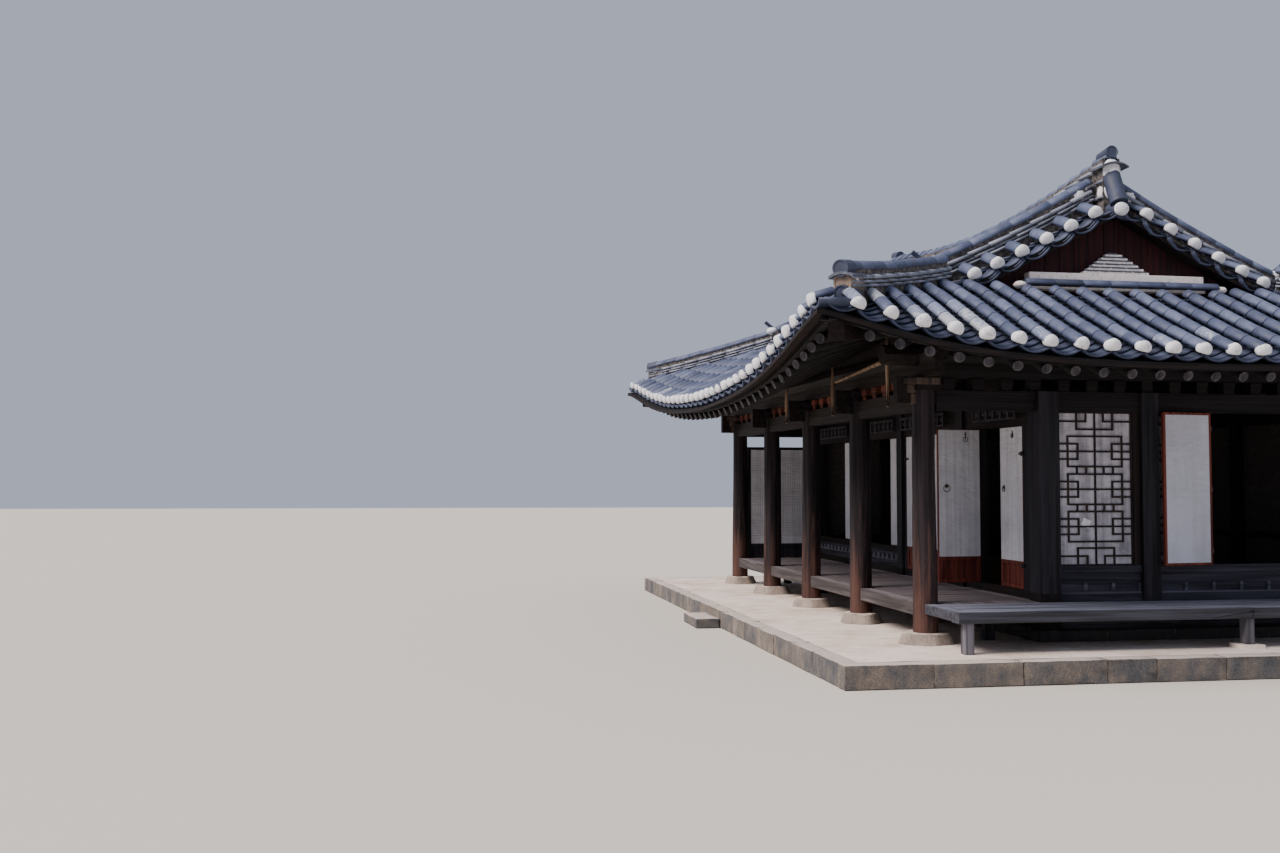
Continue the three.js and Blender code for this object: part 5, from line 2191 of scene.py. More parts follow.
@dataclass(frozen=True)
class Opening:
    """A rectangle in a wall."""

    plane: WallPlane
    start: float
    end: float
    foot: float
    head: float

    def inset(self, by: float) -> Opening:
        """The opening less a margin all round."""
        start, end = self.start + by, self.end - by
        return Opening(self.plane, start, end, self.foot + by, self.head - by)

    def sheet(self, back: float, front: float) -> Bar:
        """A sheet that fills the opening between two distances out of the wall."""
        return self.plane.bar(self.start, self.end, self.foot, self.head, back, front)

    def frame(self, wide: float, back: float, front: float) -> list[Bar]:
        """Four bars round the opening's edge.

        Args:
            wide: Width of a bar.
            back: Distance out of the wall to the bars' backs.
            front: Distance out of the wall to their fronts.

        Returns:
            The bars.
        """
        bar, tall = self.plane.bar, (self.foot, self.head)
        left, right = self.start + wide, self.end - wide
        flush = front - 0.001
        return [
            bar(self.start, left, *tall, back, front),
            bar(right, self.end, *tall, back, front),
            bar(left, right, self.foot, self.foot + wide, back, flush),
            bar(left, right, self.head - wide, self.head, back, flush),
        ]


@dataclass
class LatticePattern:
    """The bars of a window: three stepped frames between two half ones, on a middle bar."""

    bar: float = 0.02

    def lines(self) -> tuple[list[tuple[float, float, float]], list[tuple[float, float, float]]]:
        """The level and the upright bars.

        Returns:
            Level bars as (height, start, end) and upright bars as (place, foot, head), in shares.
        """
        level, upright = [], [(0.5, 0.0, 1.0)]
        for low, high in ((0.646, 0.847), (0.395, 0.596), (0.149, 0.348)):
            middle = (low + high) / 2
            level += [(low, 0.12, 0.88), (high, 0.12, 0.88), (middle, 0.0, 1.0)]
            upright += [(0.12, low, high), (0.88, low, high)]
            for side in (0, 1):
                near, far = (0.0, 0.259) if side == 0 else (0.741, 1.0)
                level += [(middle - 0.051, near, far), (middle + 0.051, near, far)]
                upright.append((0.259 if side == 0 else 0.741, middle - 0.051, middle + 0.051))
        for low, high in ((0.596, 0.646), (0.348, 0.395)):
            upright += [(place, low, high) for place in (0.246, 0.377, 0.623, 0.754)]
        for edge, box, rail in ((1.0, 0.894, 0.9466), (0.0, 0.106, 0.0534)):
            level += [(box, 0.246, 0.754), (rail, 0.0, 0.377), (rail, 0.623, 1.0)]
            low, high = sorted((edge, box))
            upright += [(0.246, low, high), (0.754, low, high)]
            low, high = sorted((edge, rail))
            upright += [(0.377, low, high), (0.623, low, high)]
        return level, upright

    def bars(self, hole: Opening, back: float, front: float) -> list[Bar]:
        """Set the pattern out in an opening.

        Args:
            hole: The opening.
            back: Distance out of the wall to the bars' backs.
            front: Distance out of the wall to their fronts.

        Returns:
            The bars.
        """
        half = self.bar / 2
        wide, tall = hole.end - hole.start, hole.head - hole.foot
        level, upright = self.lines()
        made = []
        for height, start, end in level:
            z = min(max(hole.foot + height * tall, hole.foot + half), hole.head - half)
            a, b = hole.start + start * wide - half, hole.start + end * wide + half
            a, b = max(a, hole.start), min(b, hole.end)
            made.append(hole.plane.bar(a, b, z - half, z + half, back, front))
        for place, foot, head in upright:
            u = hole.start + place * wide
            a, b = hole.foot + foot * tall - half, hole.foot + head * tall + half
            a, b = max(a, hole.foot), min(b, hole.head)
            made.append(hole.plane.bar(u - half, u + half, a, b, back, front - 0.001))
        return made


@dataclass
class Windows:
    """The windows of the bench end and of the closed walls, and the low panels under them."""

    palette: Palette
    pattern: LatticePattern = field(default_factory=LatticePattern)
    foot: float = 1.0655
    head: float = 2.8045

    def build(self) -> None:
        """Build every window."""
        self.bench_end_window()
        for number, mirror in ((1, False), (2, True)):
            self.folded_leaves(number, mirror)
        self.low_panels()
        self.closed_walls()
        self.veranda_leaves()
        self.end_screen()

    def glazed(self, hole: Opening) -> tuple[list[Bar], list[Bar]]:
        """A closed leaf that fills an opening.

        Args:
            hole: The opening.

        Returns:
            Its bars and its paper.
        """
        bars = hole.frame(0.035, 0.02, 0.052)
        bars += self.pattern.bars(hole.inset(0.035), 0.028, 0.044)
        return bars, [hole.inset(0.03).sheet(0.021, 0.028)]

    def bench_end_window(self) -> None:
        """Build the patterned window at the bench end, paper behind its bars."""
        hole = Opening(BENCH_END, -1.094, -0.186, self.foot, self.head)
        bars = hole.frame(0.018, -0.01, 0.034)
        bars += self.pattern.bars(hole.inset(0.018), 0.012, 0.03)
        for start, end in ((-1.124, hole.start - 0.001), (hole.end + 0.001, -0.106)):
            bars.append(hole.plane.bar(start, end, self.foot, self.head, -0.05, 0.05))
        lattice = joinery("bench_end_window_bars", bars, 0.002)
        finish_piece(lattice, self.palette.lattice, "dark_timber", ("lattice_window",))
        paper = joinery("bench_end_window_paper", [hole.sheet(0.002, 0.012)], 0.0)
        finish_piece(paper, self.palette.window_paper, "door_paper")
        torn = self.torn_patch(hole.plane, hole.start + 0.34, self.foot + 0.48)
        finish_piece(torn, self.palette.fresh_paper, "door_paper")

    def torn_patch(self, plane: WallPlane, u: float, z: float) -> Object:
        """Cut the small fresh patch that mends a tear in the paper.

        Args:
            plane: The wall.
            u: The patch's middle along the wall.
            z: Its middle in height.

        Returns:
            The patch.
        """
        bar = plane.bar(u - 0.05, u + 0.05, z - 0.045, z + 0.045, 0.0118, 0.0135)
        askew = Bar(bar.low, bar.high, (0.0, 0.42, 0.0))
        return joinery("bench_end_window_patch", [askew], 0.0)

    def folded_leaves(self, number: int, mirror: bool) -> None:
        """Build a pair: the inner leaf in the wall, the outer one folded open, its paper out.

        Args:
            number: The pair's number.
            mirror: Whether it stands at the other side of the opening.
        """
        node = f"side_window_leaves_{number}"
        side = -1 if mirror else 1
        start, edge = (2.66 - 0.1053, 2.66 - 0.7903) if mirror else (0.1053, 0.7903)
        u0, u1 = sorted((start, edge))
        hole = Opening(WallPlane(Axis.X, -4.13, -1), u0, u1, self.foot, self.head)
        bars = hole.frame(0.04, -0.02, 0.02)
        bars += self.pattern.bars(hole.inset(0.04), -0.012, 0.006)
        wood = joinery(f"{node}_inner_bars", bars, 0.002)
        a, b = sorted((0.0, -side * 0.65))
        leaf = Opening(WallPlane(Axis.X, 0.0, -1), a, b, 1.065, 2.8047)
        turn = Matrix.Rotation(side * 0.12, 4, "Z")
        place = Matrix.Translation((edge - side * 0.035, -4.205, 0)) @ turn
        outer = moved(joinery(f"{node}_frame", leaf.frame(0.03, -0.02, 0.022), 0.003), place)
        sheet = leaf.inset(0.028).sheet(0.005, 0.019)
        paper = moved(joinery(f"{node}_outer_paper", [sheet], 0.002), place)
        pin = edge - side * 0.012
        irons = [Bar((pin - 0.01, -4.2, z), (pin + 0.01, -4.13, z + 0.05)) for z in (1.2, 1.9, 2.6)]
        pins = joinery(f"{node}_pins", irons, 0.002)
        behind = joinery(f"{node}_inner_paper", [hole.inset(0.03).sheet(-0.018, -0.012)], 0.0)
        finish_piece(outer, self.palette.red_upright, "red_boards", (node,))
        finish_piece(wood, self.palette.lattice, "dark_timber")
        finish_piece(pins, self.palette.iron, "dark_timber")
        finish_piece(paper, self.palette.leaf_paper, "door_paper")
        finish_piece(behind, self.palette.window_paper, "door_paper")

    def cells(
        self,
        plane: WallPlane,
        u0: float,
        u1: float,
        levels: tuple[float, float, float, float],
        count: int,
        wide: float,
    ) -> tuple[list[Bar], list[Bar]]:
        """A row of small recessed cells between a deep rail and a board.

        Args:
            plane: The wall.
            u0: Start of the row.
            u1: End of the row.
            levels: Foot of the board, foot and head of the cells, and head of the rail.
            count: How many cells there are.
            wide: Width of an upright.

        Returns:
            The rail and the board, and the ledge with the uprights on it.
        """
        foot, low, high, head = levels
        ledge = low - 0.012
        board, rail = (0.0, 0.03), (0.0, 0.042)
        level = [plane.bar(u0, u1, foot, ledge, *board), plane.bar(u0, u1, high, head, *rail)]
        uprights = [plane.bar(u0, u1, ledge, low + 0.008, 0.0, 0.055)]
        for i in range(count + 1):
            u = u0 + (u1 - u0) * i / count
            near, far = max(u - wide / 2, u0), min(u + wide / 2, u1)
            uprights.append(plane.bar(near, far, low, high, 0.0, 0.044))
        return level, uprights

    def back_fields(self) -> list[tuple[float, float]]:
        """Start and end of each field between the posts of the back wall.

        Returns:
            The fields.
        """
        corner, post = 0.126, 0.101
        return [
            (a + (corner if a < -4 else post), b - (corner if b > 4 else post)) for a, b in BAYS
        ]

    def low_panels(self) -> None:
        """Divide the low panels under the windows, over a near-black back that paints the shade in
        their recesses.
        """
        rows = []
        for plane in (BENCH_END, FAR_END):
            for start, end, count in ((-1.124, -0.106, 3), (0.106, 2.554, 7)):
                rows.append((plane, start, end, (0.7, 0.762, 0.868, 0.984), count, 0.04))
        for start, end in ((0.101, 1.959), (2.161, 3.994)):
            rows.append((VERANDA_WALL, start, end, (0.69, 0.862, 0.936, 0.984), 10, 0.11))
        for start, end in self.back_fields():
            rows.append((BACK_WALL, start, end, (0.756, 0.79, 1.25, 1.284), 4, 0.042))
        across, along, small, backs = [], [], [], []
        for row in rows:
            plane, start, end, levels = row[:4]
            level, upright = self.cells(*row)
            (across if plane.axis is Axis.X else along).extend(level)
            small += upright
            # A near-black back paints the shade in each row's recess
            backs.append(plane.bar(start, end, levels[1], levels[2], 0.0, 0.006))
        for name, bars, bevel, finish in (
            ("uprights", small, 0.003, self.palette.ledge),
            ("rails", across, 0.004, self.palette.sill),
            ("rails_along", along, 0.004, self.palette.sill_y),
            ("backs", backs, 0.0, self.palette.boards_dark),
        ):
            finish_piece(joinery(f"low_panel_{name}", bars, bevel), finish, "dark_timber")
        self.transoms()

    def transoms(self) -> None:
        """Set the small squares in the wall head over the veranda's doors and windows."""
        plane = WallPlane(Axis.Y, -1.375, -1)
        bars = []
        pitch, half, back = 0.185, 0.024, 0.001
        for start, end in ((-3.72, -2.58), (-1.69, -0.19), (0.105, 1.955), (2.165, 3.99)):
            for low, high in ((2.745, 2.772), (2.895, 2.93)):
                bars.append(plane.bar(start, end, low, high, back, 0.024))
            count = round((end - start) / pitch)
            for i in range(count + 1):
                y = start + (end - start) * i / count
                near, far = max(y - half, start), min(y + half, end)
                bars.append(plane.bar(near, far, 2.76, 2.91, back, 0.028))
                if i < count:
                    y += (end - start) / count / 2
                    bars.append(plane.bar(y - 0.03, y + 0.03, 2.815, 2.86, back, 0.014))
        finish_piece(joinery("wall_head_transoms", bars, 0.003), self.palette.muntin, "dark_timber")

    def window_pair(
        self, plane: WallPlane, middle: float, low: float, high: float
    ) -> tuple[list[Bar], list[Bar]]:
        """Two closed leaves with the same pattern, in a frame.

        Args:
            plane: The wall.
            middle: The pair's middle along the wall.
            low: Height of its foot.
            high: Height of its head.

        Returns:
            The bars and the paper.
        """
        bars, sheets = [], []
        for side in (-1, 1):
            u0, u1 = sorted((middle + side * 0.003, middle + side * 0.58))
            wood, paper = self.glazed(Opening(plane, u0, u1, low, high))
            bars += wood
            sheets += paper
        around = Opening(plane, middle - 0.65, middle + 0.65, low - 0.01, high + 0.001)
        return bars + around.frame(0.07, 0.019, 0.058), sheets

    def closed_walls(self) -> None:
        """Finish the back and the far end on both faces: windows between fields of plaster."""
        bars, sheets, plaster, shaded_inner = [], [], [], []
        low, high = 1.366, 2.754
        reach = 0.65
        back, inside = BACK_WALL, BACK_WALL.turned()
        for (start, end), (a, b) in zip(self.back_fields(), BAYS):
            middle = (a + b) / 2
            wood, paper = self.window_pair(back, middle, low + 0.01, high)
            bars += wood
            sheets += paper
            for edges in ((start, middle - reach - 0.001), (middle + reach + 0.001, end)):
                plaster.append(back.bar(*edges, low, high, 0.018, 0.034))
            # The inner faces take the dark plaster that paints the shade of the rooms
            for levels in ((0.756, 1.284), (low, high)):
                shaded_inner.append(inside.bar(start, end, *levels, 0.018, 0.03))
        low = 1.066
        far, inside = FAR_END, FAR_END.turned()
        for middle, start, end in ((-0.615, -1.124, -0.106), (1.33, 0.106, 2.554)):
            if middle < 0:
                wood, paper = self.glazed(Opening(far, start, end, low, high))
            else:
                wood, paper = self.window_pair(far, middle, low + 0.01, high)
                for edges in ((start, middle - reach - 0.001), (middle + reach + 0.001, end)):
                    plaster.append(far.bar(*edges, low, high, 0.018, 0.034))
            bars += wood
            sheets += paper
            shaded_inner.append(inside.bar(start, end, low, high, 0.018, 0.03))
        for name, pieces, finish, slot in (
            ("window_bars", bars, self.palette.lattice, "dark_timber"),
            ("window_paper", sheets, self.palette.window_paper, "door_paper"),
            ("inner_plaster", shaded_inner, self.palette.inner_lime, "lime_floor"),
            ("plaster", plaster, self.palette.wall_lime, "lime_floor"),
        ):
            finish_piece(joinery(f"closed_wall_{name}", pieces, 0.0), finish, slot)

    def veranda_leaves(self) -> None:
        """Build the two narrow leaves of the veranda windows."""
        for number, start in ((1, 0.1003), (2, 2.1603)):
            leaf = Opening(VERANDA_WALL, start, start + 0.45, 1.0653, 2.6647)
            wood = joinery(f"veranda_window_{number}_frame", leaf.frame(0.03, -0.02, 0.02), 0.003)
            node = (f"veranda_window_leaf_{number}",)
            finish_piece(wood, self.palette.red_upright, "red_boards", node)
            sheet = leaf.inset(0.012).sheet(-0.016, 0.0215)
            paper = joinery(f"veranda_window_{number}_paper", [sheet], 0.002)
            finish_piece(paper, self.palette.paper, "door_paper")

    def end_screen(self) -> None:
        """Build the screen at the veranda's far end: fine bars behind paper, over a low board."""
        plane = FAR_END.turned()
        hole = Opening(plane, -2.5417, -1.3753, 0.6753, 2.625)
        low, high = 0.925, 2.575
        left, right = hole.start + 0.05, hole.end - 0.05
        middle = (hole.start + hole.end) / 2
        near, far = middle - 0.018, middle + 0.018
        wood = hole.frame(0.05, -0.03, 0.03)
        wood.append(plane.bar(left, right, 0.875, low, -0.03, 0.029))
        wood.append(plane.bar(left, right, 0.725, 0.875, -0.012, 0.012))
        wood.append(plane.bar(near, far, low, high, -0.02, 0.022))
        frame_piece = joinery("veranda_end_screen_frame", wood, 0.003)
        finish_piece(frame_piece, self.palette.post, "dark_timber", ("veranda_end_screen",))
        sheets = [
            plane.bar(left - 0.002, near + 0.002, low - 0.002, high + 0.002, 0.0, 0.018),
            plane.bar(far - 0.002, right + 0.002, low - 0.002, high + 0.002, 0.0, 0.018),
        ]
        paper = joinery("veranda_end_screen_paper", sheets, 0.0)
        finish_piece(paper, self.palette.paper, "door_paper")
        # The bars behind the paper, and the faint painted shadows that they cast through it on its
        # face
        bars, bar_shadows = [], []
        behind, face = (-0.014, -0.001), (0.0175, 0.0187)
        for a, b in ((left, near), (far, right)):
            for i in range(1, 12):
                u = a + (b - a) * i / 12
                bars.append(plane.bar(u - 0.005, u + 0.005, low, high, *behind))
                bar_shadows.append(plane.bar(u - 0.003, u + 0.003, 1.05, 2.45, *face))
            for group in (1.2, 1.75, 2.3):
                for k in range(-3, 4):
                    z = group + k * 0.045
                    bars.append(plane.bar(a, b, z - 0.005, z + 0.005, *behind))
                    bar_shadows.append(plane.bar(a, b, z - 0.003, z + 0.003, *face))
        hidden = joinery("veranda_end_screen_bars", bars, 0.0)
        finish_piece(hidden, self.palette.lattice, "dark_timber")
        shown = joinery("veranda_end_screen_bar_shadows", bar_shadows, 0.0)
        finish_piece(shown, self.palette.paper_bar_shadow, "door_paper")


@dataclass(frozen=True)
class DoorPlace:
    """Where a door leaf hangs."""

    name: str
    hinge_y: float
    width: float
    side: int
    open_degrees: float = 0.0

    def at(self, run: float) -> float:
        """The place along the wall at a distance from the hinge."""
        return self.hinge_y + self.side * run


@dataclass
class Doors:
    """The four door leaves: paper over a red-brown panel, with rings and hinges."""

    palette: Palette
    hinge_x: float = -1.326
    face: float = -1.31
    thick: float = 0.04
    foot: float = 0.77
    head: float = 2.66
    paper_foot: float = 1.09
    stile: float = 0.055
    places: tuple[DoorPlace, ...] = (
        DoorPlace("door_1_near", -3.725, 0.57, 1),
        DoorPlace("door_1_far", -2.575, 0.57, -1, -86.0),
        DoorPlace("door_2_near", -1.695, 0.75, 1),
        DoorPlace("door_2_far", -0.185, 0.75, -1),
    )

    def build(self) -> None:
        """Build the leaves."""
        for place in self.places:
            self.leaf(place)

    def hang(self, obj: Object, place: DoorPlace) -> None:
        """Turn a piece that was made closed to where the leaf stands.

        Args:
            obj: The piece.
            place: Where the leaf hangs.
        """
        pivot = Vector((self.hinge_x, place.hinge_y, 0))
        turn = Matrix.Rotation(math.radians(place.open_degrees), 4, "Z")
        moved(obj, Matrix.Translation(pivot) @ turn @ Matrix.Translation(-pivot))

    def leaf(self, place: DoorPlace) -> None:
        """Build one leaf.

        Args:
            place: Where it hangs.
        """
        at = place.at
        wall = WallPlane(Axis.Y, self.face + self.thick / 2, -1)
        half = self.thick / 2
        wide = place.width
        inner, outer = at(self.stile), at(wide - self.stile)
        rail = self.paper_foot - 0.045
        wood = [
            wall.bar(at(0), inner, self.foot, self.head, -half, half),
            wall.bar(outer, at(wide), self.foot, self.head, -half, half),
            wall.bar(inner, outer, self.foot, self.foot + 0.05, -half, half - 0.001),
            wall.bar(inner, outer, rail, self.paper_foot, -half, half - 0.001),
            wall.bar(inner, outer, self.head - 0.05, self.head, -half, half - 0.001),
            wall.bar(inner, outer, self.foot + 0.05, rail, -0.006, 0.008),
        ]
        frame_piece = joinery(f"{place.name}_frame", wood, 0.003)
        top = self.head - 0.005
        sheet = wall.bar(
            at(0.006), at(wide - 0.006), self.paper_foot, top, -half - 0.001, half + 0.0015
        )
        paper = joinery(f"{place.name}_paper", [sheet], 0.002)
        iron = self.ironwork(place, wall, half)
        if place.open_degrees:
            iron = merged(f"{place.name}_ironwork", [iron, self.inner_rings(place, half)])
        for obj in (frame_piece, paper, iron):
            self.hang(obj, place)
        node = (f"{place.name}_leaf",)
        finish_piece(frame_piece, self.palette.red_upright, "red_boards", node, place.name)
        finish_piece(paper, self.palette.paper, "door_paper", (), place.name)
        finish_piece(iron, self.palette.iron, "dark_timber", (), place.name)

    def ring(self, wall: WallPlane, u: float, z: float, front: float, size: float) -> Object:
        """Forge a ring that hangs flat on the leaf, with its round plate.

        Args:
            wall: The leaf's middle plane.
            u: The ring's middle along it.
            z: Height that it hangs from.
            front: Distance out of the plane to the leaf's face.
            size: The ring's radius.

        Returns:
            The ring.
        """
        deselect()
        middle = (wall.place + wall.out * (front + 0.008), u, z - size * 0.7)
        bpy.ops.mesh.primitive_torus_add(
            location=middle, rotation=ALONG_X, major_radius=size, minor_radius=0.0045,
            major_segments=20, minor_segments=6,
        )
        return settle(bpy.context.object, "ring")

    def disc(self, wall: WallPlane, u: float, z: float, front: float, radius: float) -> Object:
        """Forge a small domed plate.

        Args:
            wall: The leaf's middle plane.
            u: The plate's middle along it.
            z: The plate's middle in height.
            front: Distance out of the plane to the leaf's face.
            radius: The plate's radius.

        Returns:
            The plate.
        """
        x = wall.place + wall.out * (front + 0.003)
        obj = cylinder("disc", 16, radius, 0.006, (x, u, z), ALONG_X)
        with editing():
            bpy.ops.mesh.bevel(offset=0.002, segments=1, affect="EDGES")
        return obj

    def inner_rings(self, place: DoorPlace, half: float) -> Object:
        """Forge the pull ring and the hook ring on the face that shows when the leaf stands open.

        Args:
            place: Where the leaf hangs.
            half: Half its thickness.

        Returns:
            The rings.
        """
        inner = WallPlane(Axis.Y, self.face + self.thick / 2, 1)
        staple = inner.bar(place.at(0.195), place.at(0.205), 2.53, 2.63, half, half + 0.01)
        parts = [
            self.disc(inner, place.at(0.46), 1.96, half, 0.025),
            self.ring(inner, place.at(0.46), 1.96, half, 0.043),
            self.disc(inner, place.at(0.2), 2.6, half, 0.014),
            self.ring(inner, place.at(0.2), 2.56, half, 0.03),
            joinery("staple", [staple], 0.002),
        ]
        return merged(f"{place.name}_inner_rings", parts)

    def ironwork(self, place: DoorPlace, wall: WallPlane, half: float) -> Object:
        """Forge the pull ring, the hook chain at the top and the hinge leaves.

        Args:
            place: Where the leaf hangs.
            wall: The leaf's middle plane.
            half: Half its thickness.

        Returns:
            The ironwork.
        """
        free = place.at(place.width - 0.1)
        middle = place.at(place.width * 0.42)
        parts = [
            self.disc(wall, free, 1.95, half, 0.024),
            self.ring(wall, free, 1.95, half, 0.031),
            self.disc(wall, middle, 2.6, half, 0.014),
            self.ring(wall, middle, 2.575, half, 0.026),
        ]
        bars = [wall.bar(middle - 0.004, middle + 0.004, 2.52, 2.6, half, half + 0.01)]
        start = place.hinge_y
        for z in (1.015, 2.315):
            leaf = (start, place.at(0.09), z + 0.008, z + 0.042, half - 0.001, half + 0.004)
            knuckle = (
                start - 0.007, start + 0.007, z + 0.001, z + 0.049, half + 0.001, half + 0.024
            )
            bars += [wall.bar(*leaf), wall.bar(*knuckle)]
        parts.append(joinery("hinge", bars, 0.002))
        return merged(f"{place.name}_ironwork", parts)


# Floors and stone


@dataclass
class Floors:
    """The veranda floor, the bench and their props."""

    palette: Palette
    top: float = 0.675
    foot: float = 0.555

    def build(self) -> None:
        """Build the floors."""
        self.veranda()
        self.bench()

    def veranda(self) -> None:
        """Lay the veranda: an edge beam, cross joists at the columns and boards between them."""
        rng = random.Random(9)
        edge, boards, props = [], [], []
        cuts = [-4.2447, -3.975, -2.205, -1.915, -0.145, 0.145, 1.915, 2.205, 3.975, 4.18]
        for i, (low, high) in enumerate(zip(cuts, cuts[1:])):
            if i % 2:
                foot = self.foot - 0.03
                edge.append(Bar((-2.74, low - 0.003, foot), (-2.59, high + 0.003, self.top)))
                edge.append(Bar((-1.43, low, self.foot), (-1.3103, high, self.top - 0.001)))
                y = low
                while y < high - 0.01:
                    wide = min(rng.uniform(0.24, 0.33), high - y)
                    if high - (y + wide) < 0.1:
                        wide = high - y
                    top = self.top - rng.uniform(0.0, 0.004)
                    near, far = y + 0.0025, y + wide - 0.0025
                    boards.append(Bar((-2.587, near, self.top - 0.05), (-1.433, far, top)))
                    y += wide
            else:
                inner = -1.3753 if i in (0, 8) else -1.3503
                edge.append(Bar((-2.536, low, self.foot - 0.02), (inner, high, self.top - 0.001)))
        for y in COLUMN_ROWS:
            middle = y * 0.96
            props.append(
                Bar((-1.93, middle - 0.06, 0.236), (-1.81, middle + 0.06, self.foot + 0.01))
            )
        beams = joinery("veranda_floor_beams", edge, 0.009, 2)
        finish_piece(beams, self.palette.floor_y, "weathered_boards", ("veranda_floor",))
        planks = joinery("veranda_floor_boards", boards, 0.004)
        finish_piece(planks, self.palette.floor_x, "weathered_boards")
        under = joinery("veranda_floor_props", props, 0.008)
        finish_piece(under, self.palette.post, "weathered_boards")

    def bench(self) -> None:
        """Lay the bench: a front beam scarfed over the second leg, long boards and square legs."""
        rng = random.Random(12)
        front = [
            Bar((-2.74, -5.12, self.foot), (0.6, -4.95, self.top)),
            Bar((0.605, -5.117, self.foot), (2.74, -4.952, self.top - 0.003)),
            Bar((-2.74, -4.947, self.foot + 0.01), (-2.6, -4.2453, self.top - 0.001)),
            Bar((2.6, -4.947, self.foot + 0.01), (2.74, -4.2453, self.top - 0.001)),
        ]
        rows = [-4.947, -4.78, -4.595, -4.43, -4.2453]
        boards = []
        for i in range(4):
            joint = rng.uniform(-0.6, 0.9)
            for x0, x1 in ((-2.597, joint), (joint + 0.004, 2.597)):
                top = self.top - rng.uniform(0.001, 0.006)
                near, far = rows[i] + 0.003, rows[i + 1] - 0.003
                boards.append(Bar((x0, near, self.top - 0.06), (x1, far, top)))
        seat = self.foot + 0.005
        for x in (-2.0, -1.2, -0.35, 0.45, 1.25, 2.05):
            boards.append(Bar((x - 0.04, -4.95, seat), (x + 0.04, -4.25, self.top - 0.062)))
        legs = []
        for x, low in ((-2.605, 0.2355), (0.58, 0.2805), (2.605, 0.2355)):
            legs.append(Bar((x - 0.052, -5.1, low), (x + 0.052, -4.98, seat)))
        beam = joinery("side_bench_front_beam", front, 0.012, 3)
        self.round_scarf(beam)
        finish_piece(beam, self.palette.bench, "weathered_boards", ("side_bench",))
        # Near-black slivers in the front beam's face paint the shade inside a crack
        crack = Bar((0.12, -5.1215, 0.598), (0.62, -5.1185, 0.603), (0.0, -0.12, 0.0))
        gap = Bar((0.55, -5.1215, 0.63), (0.68, -5.1185, 0.634), (0.0, 0.03, 0.0))
        for name, bars, bevel, segments, finish in (
            ("boards", boards, 0.004, 1, self.palette.bench),
            ("legs", legs, 0.012, 2, self.palette.leg),
            ("crack", [crack, gap], 0.0, 1, self.palette.boards_dark),
        ):
            piece = joinery(f"side_bench_{name}", bars, bevel, segments)
            finish_piece(piece, finish, "weathered_boards")

    def round_scarf(self, obj: Object) -> None:
        """Wear the beam's outer corner down a little.

        Args:
            obj: The beam.
        """
        for vertex in obj.data.vertices:
            if vertex.co.x < -2.73 and vertex.co.y < -5.1:
                vertex.co.x += 0.012
                vertex.co.y += 0.012
        obj.data.update()


